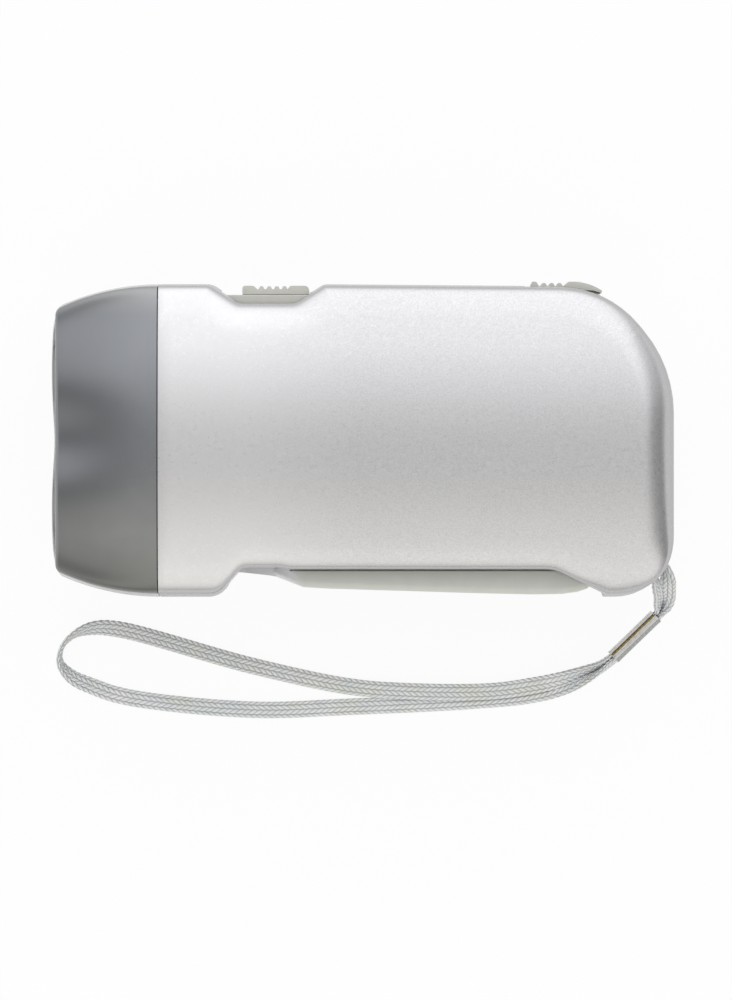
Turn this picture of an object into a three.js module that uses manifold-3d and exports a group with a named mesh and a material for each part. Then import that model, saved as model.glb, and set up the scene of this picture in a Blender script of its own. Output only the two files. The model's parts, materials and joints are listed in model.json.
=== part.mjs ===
// A hand squeezed dynamo torch, lying on its side with its wrist strap beside it.
// Millimetres. The tail points to +X, the head to -X, the squeeze lever to -Y, and the torch rests on z = 0.

import * as THREE from 'three';
import { mergeVertices } from 'three/addons/utils/BufferGeometryUtils.js';
import Module from 'manifold-3d';

const wasm = await Module();
wasm.setup();

const { Vector2, Vector3 } = THREE;

// Driving dimensions of the body

const TAIL_X = 52.68;             // rear face of the body
const SEAM_X = -34.8;             // plane between the head and the body
const TOP_Y = 26.6;
const BOTTOM_Y = -26.6;
const THICKNESS = 40;
const FILLET = 6;                 // radius between the side walls and the broad faces
const WALL = 1.8;
const GAP = 0.3;                  // clearance between pieces that sit in each other
const MID_Z = THICKNESS / 2;
const FLOOR_Z = WALL;             // inner faces of the two shells
const CEILING_Z = THICKNESS - WALL;

// Recess of the switch and slot of the lever, in the outline

const RECESS_FLOOR_Y = 23.55;
const RECESS_FRONT_X = -21.0;
const RECESS_REAR_X = -11.8;
const RECESS_SLOPE = 0.62;
const SLOT_EDGE_Y = -22.6;
const SLOT_FRONT_X = -24.2;
const SLOT_REAR_X = 31.9;
const SLOT_WIDTH = 22;            // across z
const CORNER_RADIUS = 10.2;       // rounding of the lower rear corner

// Head

const HEAD_LENGTH = 17.2;
const HEAD_DROP_Y = 3.8;          // how far its outline draws in toward the front
const HEAD_DROP_Z = 5.0;
const HEAD_WALL = 1.8;
const VALLEY_DEPTH = 3.2;         // dip in its sides between the two lamps
const VALLEY_WIDTH = 6.5;
const LAMP_SPACING = 11.5;        // from the middle to each lamp
const LAMP_RADIUS = 10.2;
const LAMP_WAIST = 7.4;
const LENS_PROUD = 0.7;
const SPIGOT_LENGTH = 2.2;
const SPIGOT_WALL = 1.3;

// Squeeze lever and its rack

const LEVER_OPEN = 20;            // degrees
const PIVOT_X = -20.5;
const PIVOT_Y = -17.8;
const PIVOT_BOSS = 4.6;
const PIN_RADIUS = 1.2;
const GRIP_WIDTH = 21;
const NECK_WIDTH = 15;
const LEVER_WALL = 2;
const LEVER_TOP_Y = -20.4;
const LEVER_TIP_X = 39.2;
const RACK_MODULE = 1.0;
const RACK_TEETH = 100;           // of the full ring that the rack is part of
const RACK_FIRST = -1;
const RACK_RIM = 2.15;            // of the rack, behind the roots of its teeth
const RACK_WIDTH = 5;
const RACK_TIP_ANGLE = 7;         // degrees of plain ring past the last tooth

// Gear train

const DRIVE_TEETH = 10;
const DRIVE_ANGLE = 19;           // degrees, from the lever pivot to the drive axle
const MAIN_TEETH = 36;
const MAIN_MODULE = 0.8;
const SECOND_PINION_TEETH = 10;
const SECOND_TEETH = 32;
const FINE_MODULE = 0.6;
const ROTOR_TEETH = 8;
const SECOND_ANGLE = 148;         // degrees, from the drive axle to the second axle
const ROTOR_ANGLE = 207;          // degrees, from the second axle to the rotor axle
const MESH_PLAY = 0.1;
const AXLE_RADIUS = 1.1;
const RUNNING_GAP = 0.15;
const MAGNET_RADIUS = 10.8;
const AIR_GAP = 0.5;
const POLE_WIDTH = 2.5;

// Sliders

const SWITCH_TRAVEL = 3;
const LATCH_TRAVEL = 3;
const PLATE_TOP_Y = 24.6;
const PLATE_FRONT_X = -23.95;
const PLATE_REAR_X = -9.15;
const PLATE_WIDTH = 14;
const KNOB_WIDTH = 9;
const LATCH_WIDTH = 10;
const LATCH_FRONT_X = 28.2;
const LATCH_TAIL_X = 40.25;

// Strap and crimp

const STRAP_WIDTH = 2.9;
const STRAP_THICKNESS = 0.8;
const CRIMP_LENGTH = 13;
const CRIMP_WALL = 0.25;
const STRAP_POST_X = 46.3;
const STRAP_POST_Y = -19.9;

const ROUNDING_STEPS = 4;         // faces in each quarter of a rounded side

const radians = THREE.MathUtils.degToRad;

// Solid modelling helpers

function solidOf(geometry) {
  geometry.deleteAttribute('normal');
  geometry.deleteAttribute('uv');
  const merged = mergeVertices(geometry, 1e-4);
  const vertProperties = new Float32Array(merged.attributes.position.array);
  const triVerts = new Uint32Array(merged.index.array);
  return new wasm.Manifold(new wasm.Mesh({ numProp: 3, vertProperties, triVerts }));
}

function geometryOf(solid) {
  const mesh = solid.getMesh();
  const geometry = new THREE.BufferGeometry();
  geometry.setAttribute('position', new THREE.Float32BufferAttribute(mesh.vertProperties, 3));
  geometry.setIndex(new THREE.Uint32BufferAttribute(mesh.triVerts, 1));
  geometry.computeVertexNormals();
  return geometry;
}

const cut = (solid, ...tools) => tools.reduce((rest, tool) => rest.subtract(tool), solid);
const join = (...solids) => solids.reduce((sum, solid) => sum.add(solid));

function prism(points, lowZ, highZ) {
  const shape = new THREE.Shape(points.map(([x, y]) => new Vector2(x, y)));
  const geometry = new THREE.ExtrudeGeometry(shape, { depth: highZ - lowZ, bevelEnabled: false });
  geometry.translate(0, 0, lowZ);
  return solidOf(geometry);
}

function block([x0, x1], [y0, y1], [z0, z1]) {
  const geometry = new THREE.BoxGeometry(x1 - x0, y1 - y0, z1 - z0);
  geometry.translate((x0 + x1) / 2, (y0 + y1) / 2, (z0 + z1) / 2);
  return solidOf(geometry);
}

function rod([x, y], radius, lowZ, highZ, sides = 14) {
  const geometry = new THREE.CylinderGeometry(radius, radius, highZ - lowZ, sides);
  geometry.rotateX(Math.PI / 2);
  geometry.translate(x, y, (lowZ + highZ) / 2);
  return solidOf(geometry);
}

// A solid turned about an axis along X: the profile holds pairs of x and radius
function turnedAlongX(profile, y, z, sides = 16) {
  const geometry = new THREE.LatheGeometry(profile.map(([x, r]) => new Vector2(r, x)), sides);
  geometry.rotateZ(-Math.PI / 2);
  geometry.translate(0, y, z);
  return rightWayOut(geometry);
}

function signedVolume(positions, index) {
  const [a, b, c] = [new Vector3(), new Vector3(), new Vector3()];
  let volume = 0;
  for (let i = 0; i < index.length; i += 3) {
    a.fromArray(positions, index[i] * 3);
    b.fromArray(positions, index[i + 1] * 3);
    c.fromArray(positions, index[i + 2] * 3);
    volume += a.dot(b.cross(c)) / 6;
  }
  return volume;
}

function rightWayOut(geometry) {
  geometry.deleteAttribute('normal');
  geometry.deleteAttribute('uv');
  const merged = mergeVertices(geometry, 1e-4);
  const index = Array.from(merged.index.array);
  const faces = [];
  for (let i = 0; i < index.length; i += 3) {
    const face = index.slice(i, i + 3);
    if (new Set(face).size === 3) faces.push(face);
  }
  const flipped = signedVolume(merged.attributes.position.array, faces.flat()) < 0;
  merged.setIndex(faces.flatMap((face) => (flipped ? face.reverse() : face)));
  return solidOf(merged);
}

function capFaces(ring, flat, offset, facing) {
  const contour = ring.map(flat);
  const area = ([i, j, k]) => {
    const [p, q, r] = [contour[i], contour[j], contour[k]];
    return (q.x - p.x) * (r.y - p.y) - (q.y - p.y) * (r.x - p.x);
  };
  return THREE.ShapeUtils.triangulateShape(contour, []).flatMap((face) => {
    const turned = Math.sign(area(face)) === facing ? face : [face[0], face[2], face[1]];
    return turned.map((i) => i + offset);
  });
}

// A closed skin through rings that hold the same number of points, with flat ends
function loft(rings, flat = (p) => new Vector2(p.x, p.y)) {
  const size = rings[0].length;
  const turn = Math.sign(THREE.ShapeUtils.area(rings[0].map(flat)));
  const index = [];
  for (let k = 0; k + 1 < rings.length; k += 1) {
    for (let i = 0; i < size; i += 1) {
      const [a, b] = [k * size + i, k * size + (i + 1) % size];
      index.push(a, b, b + size, a, b + size, a + size);
    }
  }
  index.push(...capFaces(rings[0], flat, 0, -turn));
  index.push(...capFaces(rings.at(-1), flat, size * (rings.length - 1), turn));
  const geometry = new THREE.BufferGeometry();
  const positions = rings.flat().flatMap((p) => p.toArray());
  geometry.setAttribute('position', new THREE.Float32BufferAttribute(positions, 3));
  geometry.setIndex(index);
  return rightWayOut(geometry);
}

// A round wire through chosen points
function wire(points, radius, steps) {
  const circle = new THREE.Shape();
  circle.absarc(0, 0, radius, 0, 2 * Math.PI);
  const path = new THREE.CatmullRomCurve3(points.map((p) => new Vector3(...p)));
  return solidOf(new THREE.ExtrudeGeometry(circle, { steps, extrudePath: path, curveSegments: 3 }));
}

const group = new THREE.Group();

function add(name, solid, color, roughness, metalness = 0) {
  const material = new THREE.MeshStandardMaterial({ color, roughness, metalness });
  const mesh = new THREE.Mesh(geometryOf(solid), material);
  mesh.name = name;
  group.add(mesh);
}

const SILVER = [0xc9c9cc, 0.45, 0.3];
const SMOKED = [0x6f7272, 0.25];
const GREY = [0xb3b5af, 0.5];
const NYLON = [0xe9e6dc, 0.5];
const STEEL = [0xb8bcc0, 0.3, 0.9];
const BOARD = [0x2f6b46, 0.6];
const COPPER = [0xb5683a, 0.35, 0.8];
const RED = [0xb03028, 0.5];
const BLACK = [0x232323, 0.5];

// The side outline of the body

// Corners run counterclockwise. roll says how much of the inset the edge that starts there takes.
function bodyCorners(seamX) {
  const slotSlope = 0.52;
  const recessDepth = TOP_Y - RECESS_FLOOR_Y;
  const recessRun = recessDepth / RECESS_SLOPE;
  return [
    { x: seamX, y: TOP_Y, radius: 0, steps: 0, roll: 0 },
    { x: seamX, y: BOTTOM_Y, radius: 0, steps: 0, roll: 1 },
    { x: SLOT_FRONT_X, y: BOTTOM_Y, radius: 2.2, steps: 3, roll: 0.45 },
    { x: SLOT_FRONT_X + 0.3, y: SLOT_EDGE_Y - 1.7, radius: 0.8, steps: 2, roll: 1 },
    { x: SLOT_FRONT_X + 3.4, y: SLOT_EDGE_Y + 0.6, radius: 2, steps: 2, roll: 1 },
    { x: -14.2, y: SLOT_EDGE_Y + 0.6, radius: 2, steps: 1, roll: 1 },
    { x: -12.5, y: SLOT_EDGE_Y, radius: 1.5, steps: 1, roll: 1 },
    { x: SLOT_REAR_X, y: SLOT_EDGE_Y, radius: 6, steps: 3, roll: 1 },
    { x: SLOT_REAR_X + (SLOT_EDGE_Y - BOTTOM_Y) / slotSlope, y: BOTTOM_Y, radius: 1, steps: 2, roll: 1 },
    { x: TAIL_X, y: BOTTOM_Y, radius: CORNER_RADIUS, steps: 6, roll: 1 },
    { x: TAIL_X, y: TOP_Y - 14, radius: 22, steps: 4, roll: 1 },
    { x: TAIL_X - 11.4, y: TOP_Y - 0.4, radius: 18, steps: 4, roll: 1 },
    { x: RECESS_REAR_X + recessRun, y: TOP_Y, radius: 2, steps: 2, roll: 1 },
    { x: RECESS_REAR_X, y: RECESS_FLOOR_Y, radius: 2.5, steps: 2, roll: 1 },
    { x: RECESS_FRONT_X, y: RECESS_FLOOR_Y, radius: 2, steps: 2, roll: 1 },
    { x: RECESS_FRONT_X - recessRun, y: TOP_Y, radius: 3, steps: 2, roll: 1 },
  ];
}

function crossing(a, b) {
  const across = a.along.x * b.along.y - a.along.y * b.along.x;
  const between = b.start.clone().sub(a.start);
  const reach = (between.x * b.along.y - between.y * b.along.x) / across;
  return a.start.clone().addScaledVector(a.along, reach);
}

// Every edge moves inward by its share of the inset. A corner's arc has as many points at any inset.
function roundedOutline(corners, inset) {
  const count = corners.length;
  const edges = corners.map((corner, i) => {
    const next = corners[(i + 1) % count];
    const along = new Vector2(next.x - corner.x, next.y - corner.y).normalize();
    const shift = inset * corner.roll;
    const start = new Vector2(corner.x - along.y * shift, corner.y + along.x * shift);
    return { along, start };
  });
  return corners.flatMap((corner, i) => {
    const before = edges[(i + count - 1) % count];
    const after = edges[i];
    const vertex = crossing(before, after);
    if (corner.radius === 0) return [vertex];
    const turn = Math.asin(before.along.x * after.along.y - before.along.y * after.along.x);
    const radius = turn > 0 ? Math.max(corner.radius - inset, 0.4) : corner.radius + 0.6 * inset;
    const reach = radius * Math.tan(Math.abs(turn) / 2);
    const begin = vertex.clone().addScaledVector(before.along, -reach);
    const side = Math.sign(turn);
    const [ux, uy] = [before.along.x * radius * side, before.along.y * radius * side];
    const centre = new Vector2(begin.x - uy, begin.y + ux);
    return Array.from({ length: corner.steps + 1 }, (_, k) => (
      begin.clone().rotateAround(centre, turn * k / corner.steps)
    ));
  });
}

// The radius that is left of the fillet on a skin drawn in by an inset
const filletAt = (inset) => Math.max(FILLET - inset, 0.5);

const quarterTurn = Array.from({ length: ROUNDING_STEPS + 1 }, (_, k) => Math.PI / 2 * k / ROUNDING_STEPS);

// Half of the body or of its hollow, on the side of the middle plane that side gives
function bodyHalf(side, inset, seamX, overlap = 0) {
  const corners = bodyCorners(seamX);
  const radius = filletAt(inset);
  const levels = quarterTurn.map((angle) => ({
    height: MID_Z - inset - radius * (1 - Math.sin(angle)),
    inset: inset + radius * (1 - Math.cos(angle)),
  }));
  return loft([{ height: -overlap, inset }, ...levels].map((level) => {
    const z = MID_Z + side * level.height;
    return roundedOutline(corners, level.inset).map((p) => new Vector3(p.x, p.y, z));
  }));
}

// Places of the pieces inside

const polar = ([x, y], radius, degrees) => [
  x + radius * Math.cos(radians(degrees)),
  y + radius * Math.sin(radians(degrees)),
];
const pitchRadius = (teeth, module) => teeth * module / 2;

const pivot = [PIVOT_X, PIVOT_Y];
const rackPitch = pitchRadius(RACK_TEETH, RACK_MODULE);
const driveAxle = polar(pivot, rackPitch - pitchRadius(DRIVE_TEETH, RACK_MODULE) - MESH_PLAY, DRIVE_ANGLE);
const firstSpacing = pitchRadius(MAIN_TEETH + SECOND_PINION_TEETH, MAIN_MODULE) + MESH_PLAY;
const secondAxle = polar(driveAxle, firstSpacing, SECOND_ANGLE);
const secondSpacing = pitchRadius(SECOND_TEETH + ROTOR_TEETH, FINE_MODULE) + MESH_PLAY;
const rotorAxle = polar(secondAxle, secondSpacing, ROTOR_ANGLE);
const strapPost = [STRAP_POST_X, STRAP_POST_Y];

// Levels of the gear train, counted down from the bearing plate, and of the generator below it

const PLATE_HEADROOM = 2.4;       // above the bearing plate
const BEARING_PLATE_THICKNESS = 1.5;
const LEVEL_GAP = 1.3;
const WHEEL_GAP = 2;              // between the two wheels
const MAIN_WIDTH = 4;
const SECOND_WIDTH = 3;
const PINION_OVERRUN = 0.4;       // how far a pinion stands past its wheel
const RACK_GAP = 1.5;             // between the rack and the main gear
const FLYWHEEL_LIFT = 2.7;        // above the floor
const FLYWHEEL_WIDTH = 3.2;
const BEARING_PLATE_Z = CEILING_Z - PLATE_HEADROOM - BEARING_PLATE_THICKNESS;
const SECOND_TOP_Z = BEARING_PLATE_Z - LEVEL_GAP;
const SECOND_Z = [SECOND_TOP_Z - SECOND_WIDTH, SECOND_TOP_Z];
const MAIN_TOP_Z = SECOND_Z[0] - WHEEL_GAP;
const MAIN_Z = [MAIN_TOP_Z - MAIN_WIDTH, MAIN_TOP_Z];
const SECOND_PINION_Z = [MAIN_Z[0] - PINION_OVERRUN, MAIN_Z[1] + PINION_OVERRUN];
const RACK_TOP_Z = MAIN_Z[0] - RACK_GAP;
const RACK_Z = [RACK_TOP_Z - RACK_WIDTH, RACK_TOP_Z];
const DRIVE_Z = [RACK_Z[0] - 1, MAIN_Z[0] - PINION_OVERRUN];
const FLYWHEEL_LOW_Z = FLOOR_Z + FLYWHEEL_LIFT;
const FLYWHEEL_Z = [FLYWHEEL_LOW_Z, FLYWHEEL_LOW_Z + FLYWHEEL_WIDTH];
const MAGNET_Z = [FLYWHEEL_Z[1] + GAP, MAIN_Z[0] - LEVEL_GAP];

// Screws, posts and battery

const CASING_SCREWS = [[-30, 18.2], [-29.5, -17.5], [43.5, -8], [-1.5, 18]];
const PLATE_SCREWS = [[-10.5, -5], [24, 8]];
const SCREW_POST = 2.4;
const SCREW_RADIUS = 1.1;
const SCREW_HEAD = 1.9;
const SCREW_REACH = 11;           // of the casing screws, past the middle plane
const COUNTERBORE_Z = 5;
const PLATE_SCREW_RADIUS = 0.8;
const PLATE_SCREW_REACH = 2.7;    // past the lower face of the bearing plate
const PIN_HALF_LENGTH = MID_Z - FLOOR_Z - 4.2;
const POST_RADIUS = 1.2;          // of the strap's steel post
const POST_HALF_LENGTH = 6;
const POST_BOSS = 2.4;
const CELL_CENTRE = [38.4, 6];
const CELL_RADIUS = 6.0;
const CELL_HEIGHT = 5.2;
const CELL_COUNT = 3;
const SLEEVE_RADIUS = 6.5;
const CELL_LOW_Z = FLOOR_Z + GAP;
const CRADLE_HEIGHT = 5.2;
const SLIDER_TRACK_Y = 25.3;
const STRAP_SLOT_WIDTH = 4.6;

const axleHoles = (lowZ, highZ) => [driveAxle, secondAxle, rotorAxle].map((at) => (
  rod(at, AXLE_RADIUS + RUNNING_GAP, lowZ, highZ, 12)
));

// Shells

const across = (width) => [MID_Z - width / 2, MID_Z + width / 2];

function sideOpenings() {
  const leverSlot = [PIVOT_X - PIVOT_BOSS + 0.2, LEVER_TIP_X + 0.8];
  return [
    block(leverSlot, [BOTTOM_Y - 3, LEVER_TOP_Y + 2.2], across(SLOT_WIDTH)),
    block([PLATE_FRONT_X - GAP, PLATE_REAR_X + GAP], [20, TOP_Y + 2], across(PLATE_WIDTH + 2 * GAP)),
    block([LATCH_FRONT_X - 0.8, LATCH_TAIL_X + 6], [SLIDER_TRACK_Y, TOP_Y + 2], across(LATCH_WIDTH + 0.8)),
    block([LATCH_FRONT_X + 0.9, LATCH_FRONT_X + 5.7 + LATCH_TRAVEL], [20, TOP_Y + 2], across(6.8)),
    block([STRAP_POST_X - 0.5, TAIL_X + 2], [BOTTOM_Y - 2, STRAP_POST_Y + 1.7], across(STRAP_SLOT_WIDTH)),
  ];
}

function upperShell() {
  const outer = bodyHalf(1, 0, SEAM_X + GAP / 2);
  const hollow = bodyHalf(1, WALL, SEAM_X - 1, 1);
  const posts = join(
    ...CASING_SCREWS.map((at) => rod(at, SCREW_POST, MID_Z + GAP, CEILING_Z + 1)),
    ...PLATE_SCREWS.map((at) => rod(at, 2.2, BEARING_PLATE_Z + BEARING_PLATE_THICKNESS + GAP, CEILING_Z + 1)),
    rod(pivot, PIN_RADIUS + 1.4, MID_Z + NECK_WIDTH / 2 + 3.2, CEILING_Z + 1),
    rod(strapPost, POST_BOSS, MID_Z + POST_HALF_LENGTH / 2, CEILING_Z + 1),
  ).intersect(outer);
  const plateHole = [BEARING_PLATE_Z, BEARING_PLATE_Z + PLATE_SCREW_REACH + 0.4];
  const holes = [
    ...CASING_SCREWS.map((at) => rod(at, SCREW_RADIUS + RUNNING_GAP, MID_Z - 1, MID_Z + SCREW_REACH + 1)),
    ...PLATE_SCREWS.map((at) => rod(at, PLATE_SCREW_RADIUS + RUNNING_GAP, ...plateHole, 12)),
    rod(pivot, PIN_RADIUS + RUNNING_GAP, MID_Z, MID_Z + PIN_HALF_LENGTH + RUNNING_GAP),
    rod(strapPost, POST_RADIUS + RUNNING_GAP, MID_Z, MID_Z + POST_HALF_LENGTH + RUNNING_GAP),
  ];
  return cut(join(cut(outer, hollow, ...sideOpenings()), posts), ...holes);
}

function lowerShell() {
  const outer = bodyHalf(-1, 0, SEAM_X + GAP / 2);
  const hollow = bodyHalf(-1, WALL, SEAM_X - 1, 1);
  const [cx, cy] = CELL_CENTRE;
  const cradleTop = FLOOR_Z + CRADLE_HEIGHT;
  const cradle = cut(
    rod(CELL_CENTRE, SLEEVE_RADIUS + GAP + 1, FLOOR_Z - 1, cradleTop, 18),
    rod(CELL_CENTRE, SLEEVE_RADIUS + GAP, FLOOR_Z, cradleTop + 1, 18),
    block([cx - 2 * SLEEVE_RADIUS, cx - SLEEVE_RADIUS / 2], [cy - 2.5, cy + 2.5], [FLOOR_Z, cradleTop + 1]),
  );
  const posts = join(
    ...CASING_SCREWS.map((at) => rod(at, SCREW_POST, FLOOR_Z - 1, MID_Z)),
    rod(pivot, PIN_RADIUS + 1.4, FLOOR_Z - 1, MID_Z - NECK_WIDTH / 2 - GAP),
    rod(strapPost, POST_BOSS, FLOOR_Z - 1, MID_Z - POST_HALF_LENGTH / 2),
    rod(driveAxle, AXLE_RADIUS + 1.5, FLOOR_Z - 1, DRIVE_Z[0] - GAP),
    rod(secondAxle, AXLE_RADIUS + 1.3, FLOOR_Z - 1, FLYWHEEL_Z[0] - GAP),
    rod(rotorAxle, AXLE_RADIUS + 1.3, FLOOR_Z - 1, FLYWHEEL_Z[0] - GAP),
    ...CORE_POSTS.map((at) => rod(at, 1.3, FLOOR_Z - 1, CORE_LOW_Z - GAP, 12)),
    cradle,
  ).intersect(outer);
  const holes = [
    ...CASING_SCREWS.map((at) => rod(at, SCREW_RADIUS + RUNNING_GAP, -1, MID_Z + 1)),
    ...CASING_SCREWS.map((at) => rod(at, SCREW_HEAD + GAP, -1, COUNTERBORE_Z)),
    rod(pivot, PIN_RADIUS + RUNNING_GAP, MID_Z - PIN_HALF_LENGTH - RUNNING_GAP, MID_Z),
    rod(strapPost, POST_RADIUS + RUNNING_GAP, MID_Z - POST_HALF_LENGTH - RUNNING_GAP, MID_Z),
    ...axleHoles(FLOOR_Z + 0.3, MID_Z),
  ];
  return cut(join(cut(outer, hollow, ...sideOpenings()), posts), ...holes);
}

// Head

const HEAD_BACK_X = SEAM_X - GAP / 2;
const HEAD_FRONT_X = HEAD_BACK_X - HEAD_LENGTH;
const arcDrop = (drop, along) => {
  const radius = (HEAD_LENGTH ** 2 + drop ** 2) / (2 * drop);
  return radius - Math.sqrt(radius ** 2 - along ** 2);
};

// Cross-section of the head at a distance in front of the seam, drawn in by an inset
function headRing(along, inset, x) {
  const halfY = TOP_Y - inset - arcDrop(HEAD_DROP_Y, along);
  const halfZ = MID_Z - inset - arcDrop(HEAD_DROP_Z, along);
  const valley = VALLEY_DEPTH * (along / HEAD_LENGTH) ** 2;
  const radius = filletAt(inset);
  const flat = halfY - radius;
  const corner = quarterTurn.map((a) => [flat + radius * Math.cos(a), halfZ - radius * (1 - Math.sin(a))]);
  const side = [
    [halfY, 0],
    ...corner,
    ...[0.66, 0.4, 0.14, -0.14, -0.4, -0.66].map((share) => [flat * share, halfZ]),
    ...corner.toReversed().map(([y, z]) => [-y, z]),
  ];
  const dipped = ([y, z]) => [y, z * (1 - (valley / MID_Z) * Math.exp(-((y / VALLEY_WIDTH) ** 2)))];
  const upper = side.map(dipped);
  const lower = upper.map(([y, z]) => [-y, -z]);
  return [...upper, ...lower].map(([y, z]) => new Vector3(x, y, MID_Z + z));
}

const inYZ = (p) => new Vector2(p.y, p.z);

// The outline of the two lamps together, like a figure of eight
function lampRing(x, grow) {
  const height = (y) => {
    const beyond = Math.abs(y) - LAMP_SPACING;
    if (beyond >= 0) return Math.sqrt(Math.max((LAMP_RADIUS + grow) ** 2 - beyond ** 2, 0));
    const dip = (1 + Math.cos(Math.PI * y / LAMP_SPACING)) / 2;
    return LAMP_RADIUS + grow - (LAMP_RADIUS - LAMP_WAIST) * dip;
  };
  const ends = [90, 67.5, 45, 22.5].map((a) => LAMP_SPACING + (LAMP_RADIUS + grow) * Math.sin(radians(a)));
  const half = [...ends, LAMP_SPACING, 7.7, 3.8, 0];
  const ys = [...half, ...half.toReversed().slice(1).map((y) => -y)];
  const top = ys.map((y) => [y, height(y)]);
  const bottom = top.slice(1, -1).map(([y, z]) => [-y, -z]);
  return [...top, ...bottom].map(([y, z]) => new Vector3(x, y, MID_Z + z));
}

function headBezel() {
  const stations = [0, 0.4, 0.7, 0.9, 1].map((share) => share * (HEAD_LENGTH - 1));
  const outer = loft([
    ...stations.map((along) => headRing(along, 0, HEAD_BACK_X - along)),
    headRing(HEAD_LENGTH - 0.4, 0.3, HEAD_FRONT_X + 0.4),
    headRing(HEAD_LENGTH - 0.3, 1.0, HEAD_FRONT_X),
  ], inYZ);
  const depth = HEAD_LENGTH - 2.2;
  const hollow = loft([-1, 0.4, 0.75, 1].map((share) => (
    headRing(Math.max(share, 0) * depth, HEAD_WALL, HEAD_BACK_X - share * depth)
  )), inYZ);
  const spigotOuter = loft([1, -SPIGOT_LENGTH - GAP].map((along) => (
    headRing(0, WALL + GAP, HEAD_BACK_X - along)
  )), inYZ);
  const spigotInner = loft([10, -10].map((along) => (
    headRing(0, WALL + GAP + SPIGOT_WALL, HEAD_BACK_X - along)
  )), inYZ);
  const window = loft([lampRing(HEAD_FRONT_X - 5, GAP), lampRing(HEAD_FRONT_X + 6, GAP)], inYZ);
  const front = cut(outer, hollow, window);
  return join(front, cut(spigotOuter, spigotInner));
}

function frontLens() {
  const back = HEAD_FRONT_X + 1.3;
  const dome = (ring, rise) => ring.map((p) => {
    const valley = 0.5 * Math.exp(-((p.y / 5) ** 2));
    return new Vector3(p.x - rise * LENS_PROUD * (1 - valley), p.y, p.z);
  });
  return loft([
    lampRing(back, 0),
    lampRing(HEAD_FRONT_X - 0.1, 0),
    dome(lampRing(HEAD_FRONT_X - 0.1, -1.2), 0.7),
    dome(lampRing(HEAD_FRONT_X - 0.1, -5), 1),
  ], inYZ);
}

const LED_BOARD_X = HEAD_FRONT_X + 10.4;
const LED_BOARD_THICKNESS = 1.4;
const LAMPS = [['upper', LAMP_SPACING], ['lower', -LAMP_SPACING]];

function reflector() {
  const front = HEAD_FRONT_X + 1.6;
  const back = LED_BOARD_X - 2.4;
  const body = loft([lampRing(front, -0.4), lampRing(back, -0.4)], inYZ);
  const cups = LAMPS.map(([, y]) => turnedAlongX([
    [front - 1, 0], [front - 1, 8.6], [front, 8.5], [(2 * front + back) / 3, 7.4],
    [(front + 2 * back) / 3, 5.4], [back - 0.6, 3], [back + 1, 3], [back + 1, 0],
  ], y, MID_Z));
  return cut(body, ...cups);
}

function lamp(y) {
  const base = LED_BOARD_X - GAP;
  return turnedAlongX([
    [base, 0], [base, 2.9], [base - 1, 2.9], [base - 1, 2.5], [base - 4.4, 2.5],
    [base - 5.8, 1.9], [base - 6.6, 0.9], [base - 6.8, 0],
  ], y, MID_Z, 10);
}

// Switch in its recess

const KNOB_FRONT_X = -20.7;
const KNOB_REAR_X = -9.4;
const STEM = [-17, -13];
const CASE_TOP_Y = 21.9;
const CASE_LOW_Y = 16.2;
const CASE_WALL = 1.1;
const CASE_WIDTH = 10;
const RIB_PITCH = 1.3;
const FIRST_RIB_X = -17.45;

function switchPlate() {
  const slotX = [STEM[0] - SWITCH_TRAVEL - GAP, STEM[1] + GAP];
  const slot = block(slotX, [CASE_TOP_Y - 1, PLATE_TOP_Y + 1], across(4.6));
  const plate = block(
    [PLATE_FRONT_X, PLATE_REAR_X],
    [CASE_TOP_Y + GAP, PLATE_TOP_Y],
    [MID_Z - PLATE_WIDTH / 2, MID_Z + PLATE_WIDTH / 2],
  );
  return cut(plate, slot);
}

function switchKnob() {
  const low = PLATE_TOP_Y + RUNNING_GAP;
  const [high, valley] = [26.2, 25.6];
  const ribs = [0, 1, 2, 3].flatMap((k) => {
    const x = FIRST_RIB_X + k * RIB_PITCH;
    return [[x - 0.45, valley], [x - 0.15, high - 0.15], [x + 0.15, high - 0.15], [x + 0.45, valley]];
  });
  const outline = [
    [KNOB_FRONT_X, low], [KNOB_FRONT_X, high - 0.3], [KNOB_FRONT_X + 0.4, high], [KNOB_FRONT_X + 1.9, high],
    ...ribs,
    [FIRST_RIB_X + 4 * RIB_PITCH - 0.6, high], [KNOB_REAR_X - 0.6, high],
    [KNOB_REAR_X, high - 0.6], [KNOB_REAR_X, low],
  ];
  const cap = prism(outline.toReversed(), MID_Z - KNOB_WIDTH / 2, MID_Z + KNOB_WIDTH / 2);
  const stem = block(STEM, [CASE_TOP_Y - 0.6, low + 0.2], across(4));
  const socket = block([STEM[0] + 1.1, STEM[1] - 1.1], [CASE_LOW_Y, CASE_TOP_Y + 1.4], across(2));
  return cut(join(cap, stem), socket);
}

function switchCase() {
  const [front, rear] = [PLATE_FRONT_X + 2, PLATE_REAR_X - 0.6];
  const outer = block([front, rear], [CASE_LOW_Y, CASE_TOP_Y], across(CASE_WIDTH));
  const inner = block(
    [front + CASE_WALL, rear - CASE_WALL],
    [CASE_LOW_Y + CASE_WALL, CASE_TOP_Y + 1],
    across(CASE_WIDTH - 2 * CASE_WALL),
  );
  return cut(outer, inner);
}

function switchContact() {
  const low = CASE_LOW_Y + CASE_WALL + 0.1;
  const slide = block([STEM[0] - 0.4, STEM[1] + 0.4], [low, CASE_TOP_Y - 0.9], across(6));
  const peg = block([STEM[0] + 1.4, STEM[1] - 1.4], [CASE_TOP_Y - 1.2, CASE_TOP_Y + 1.1], across(1.4));
  return join(slide, peg);
}

// Latch

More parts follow.
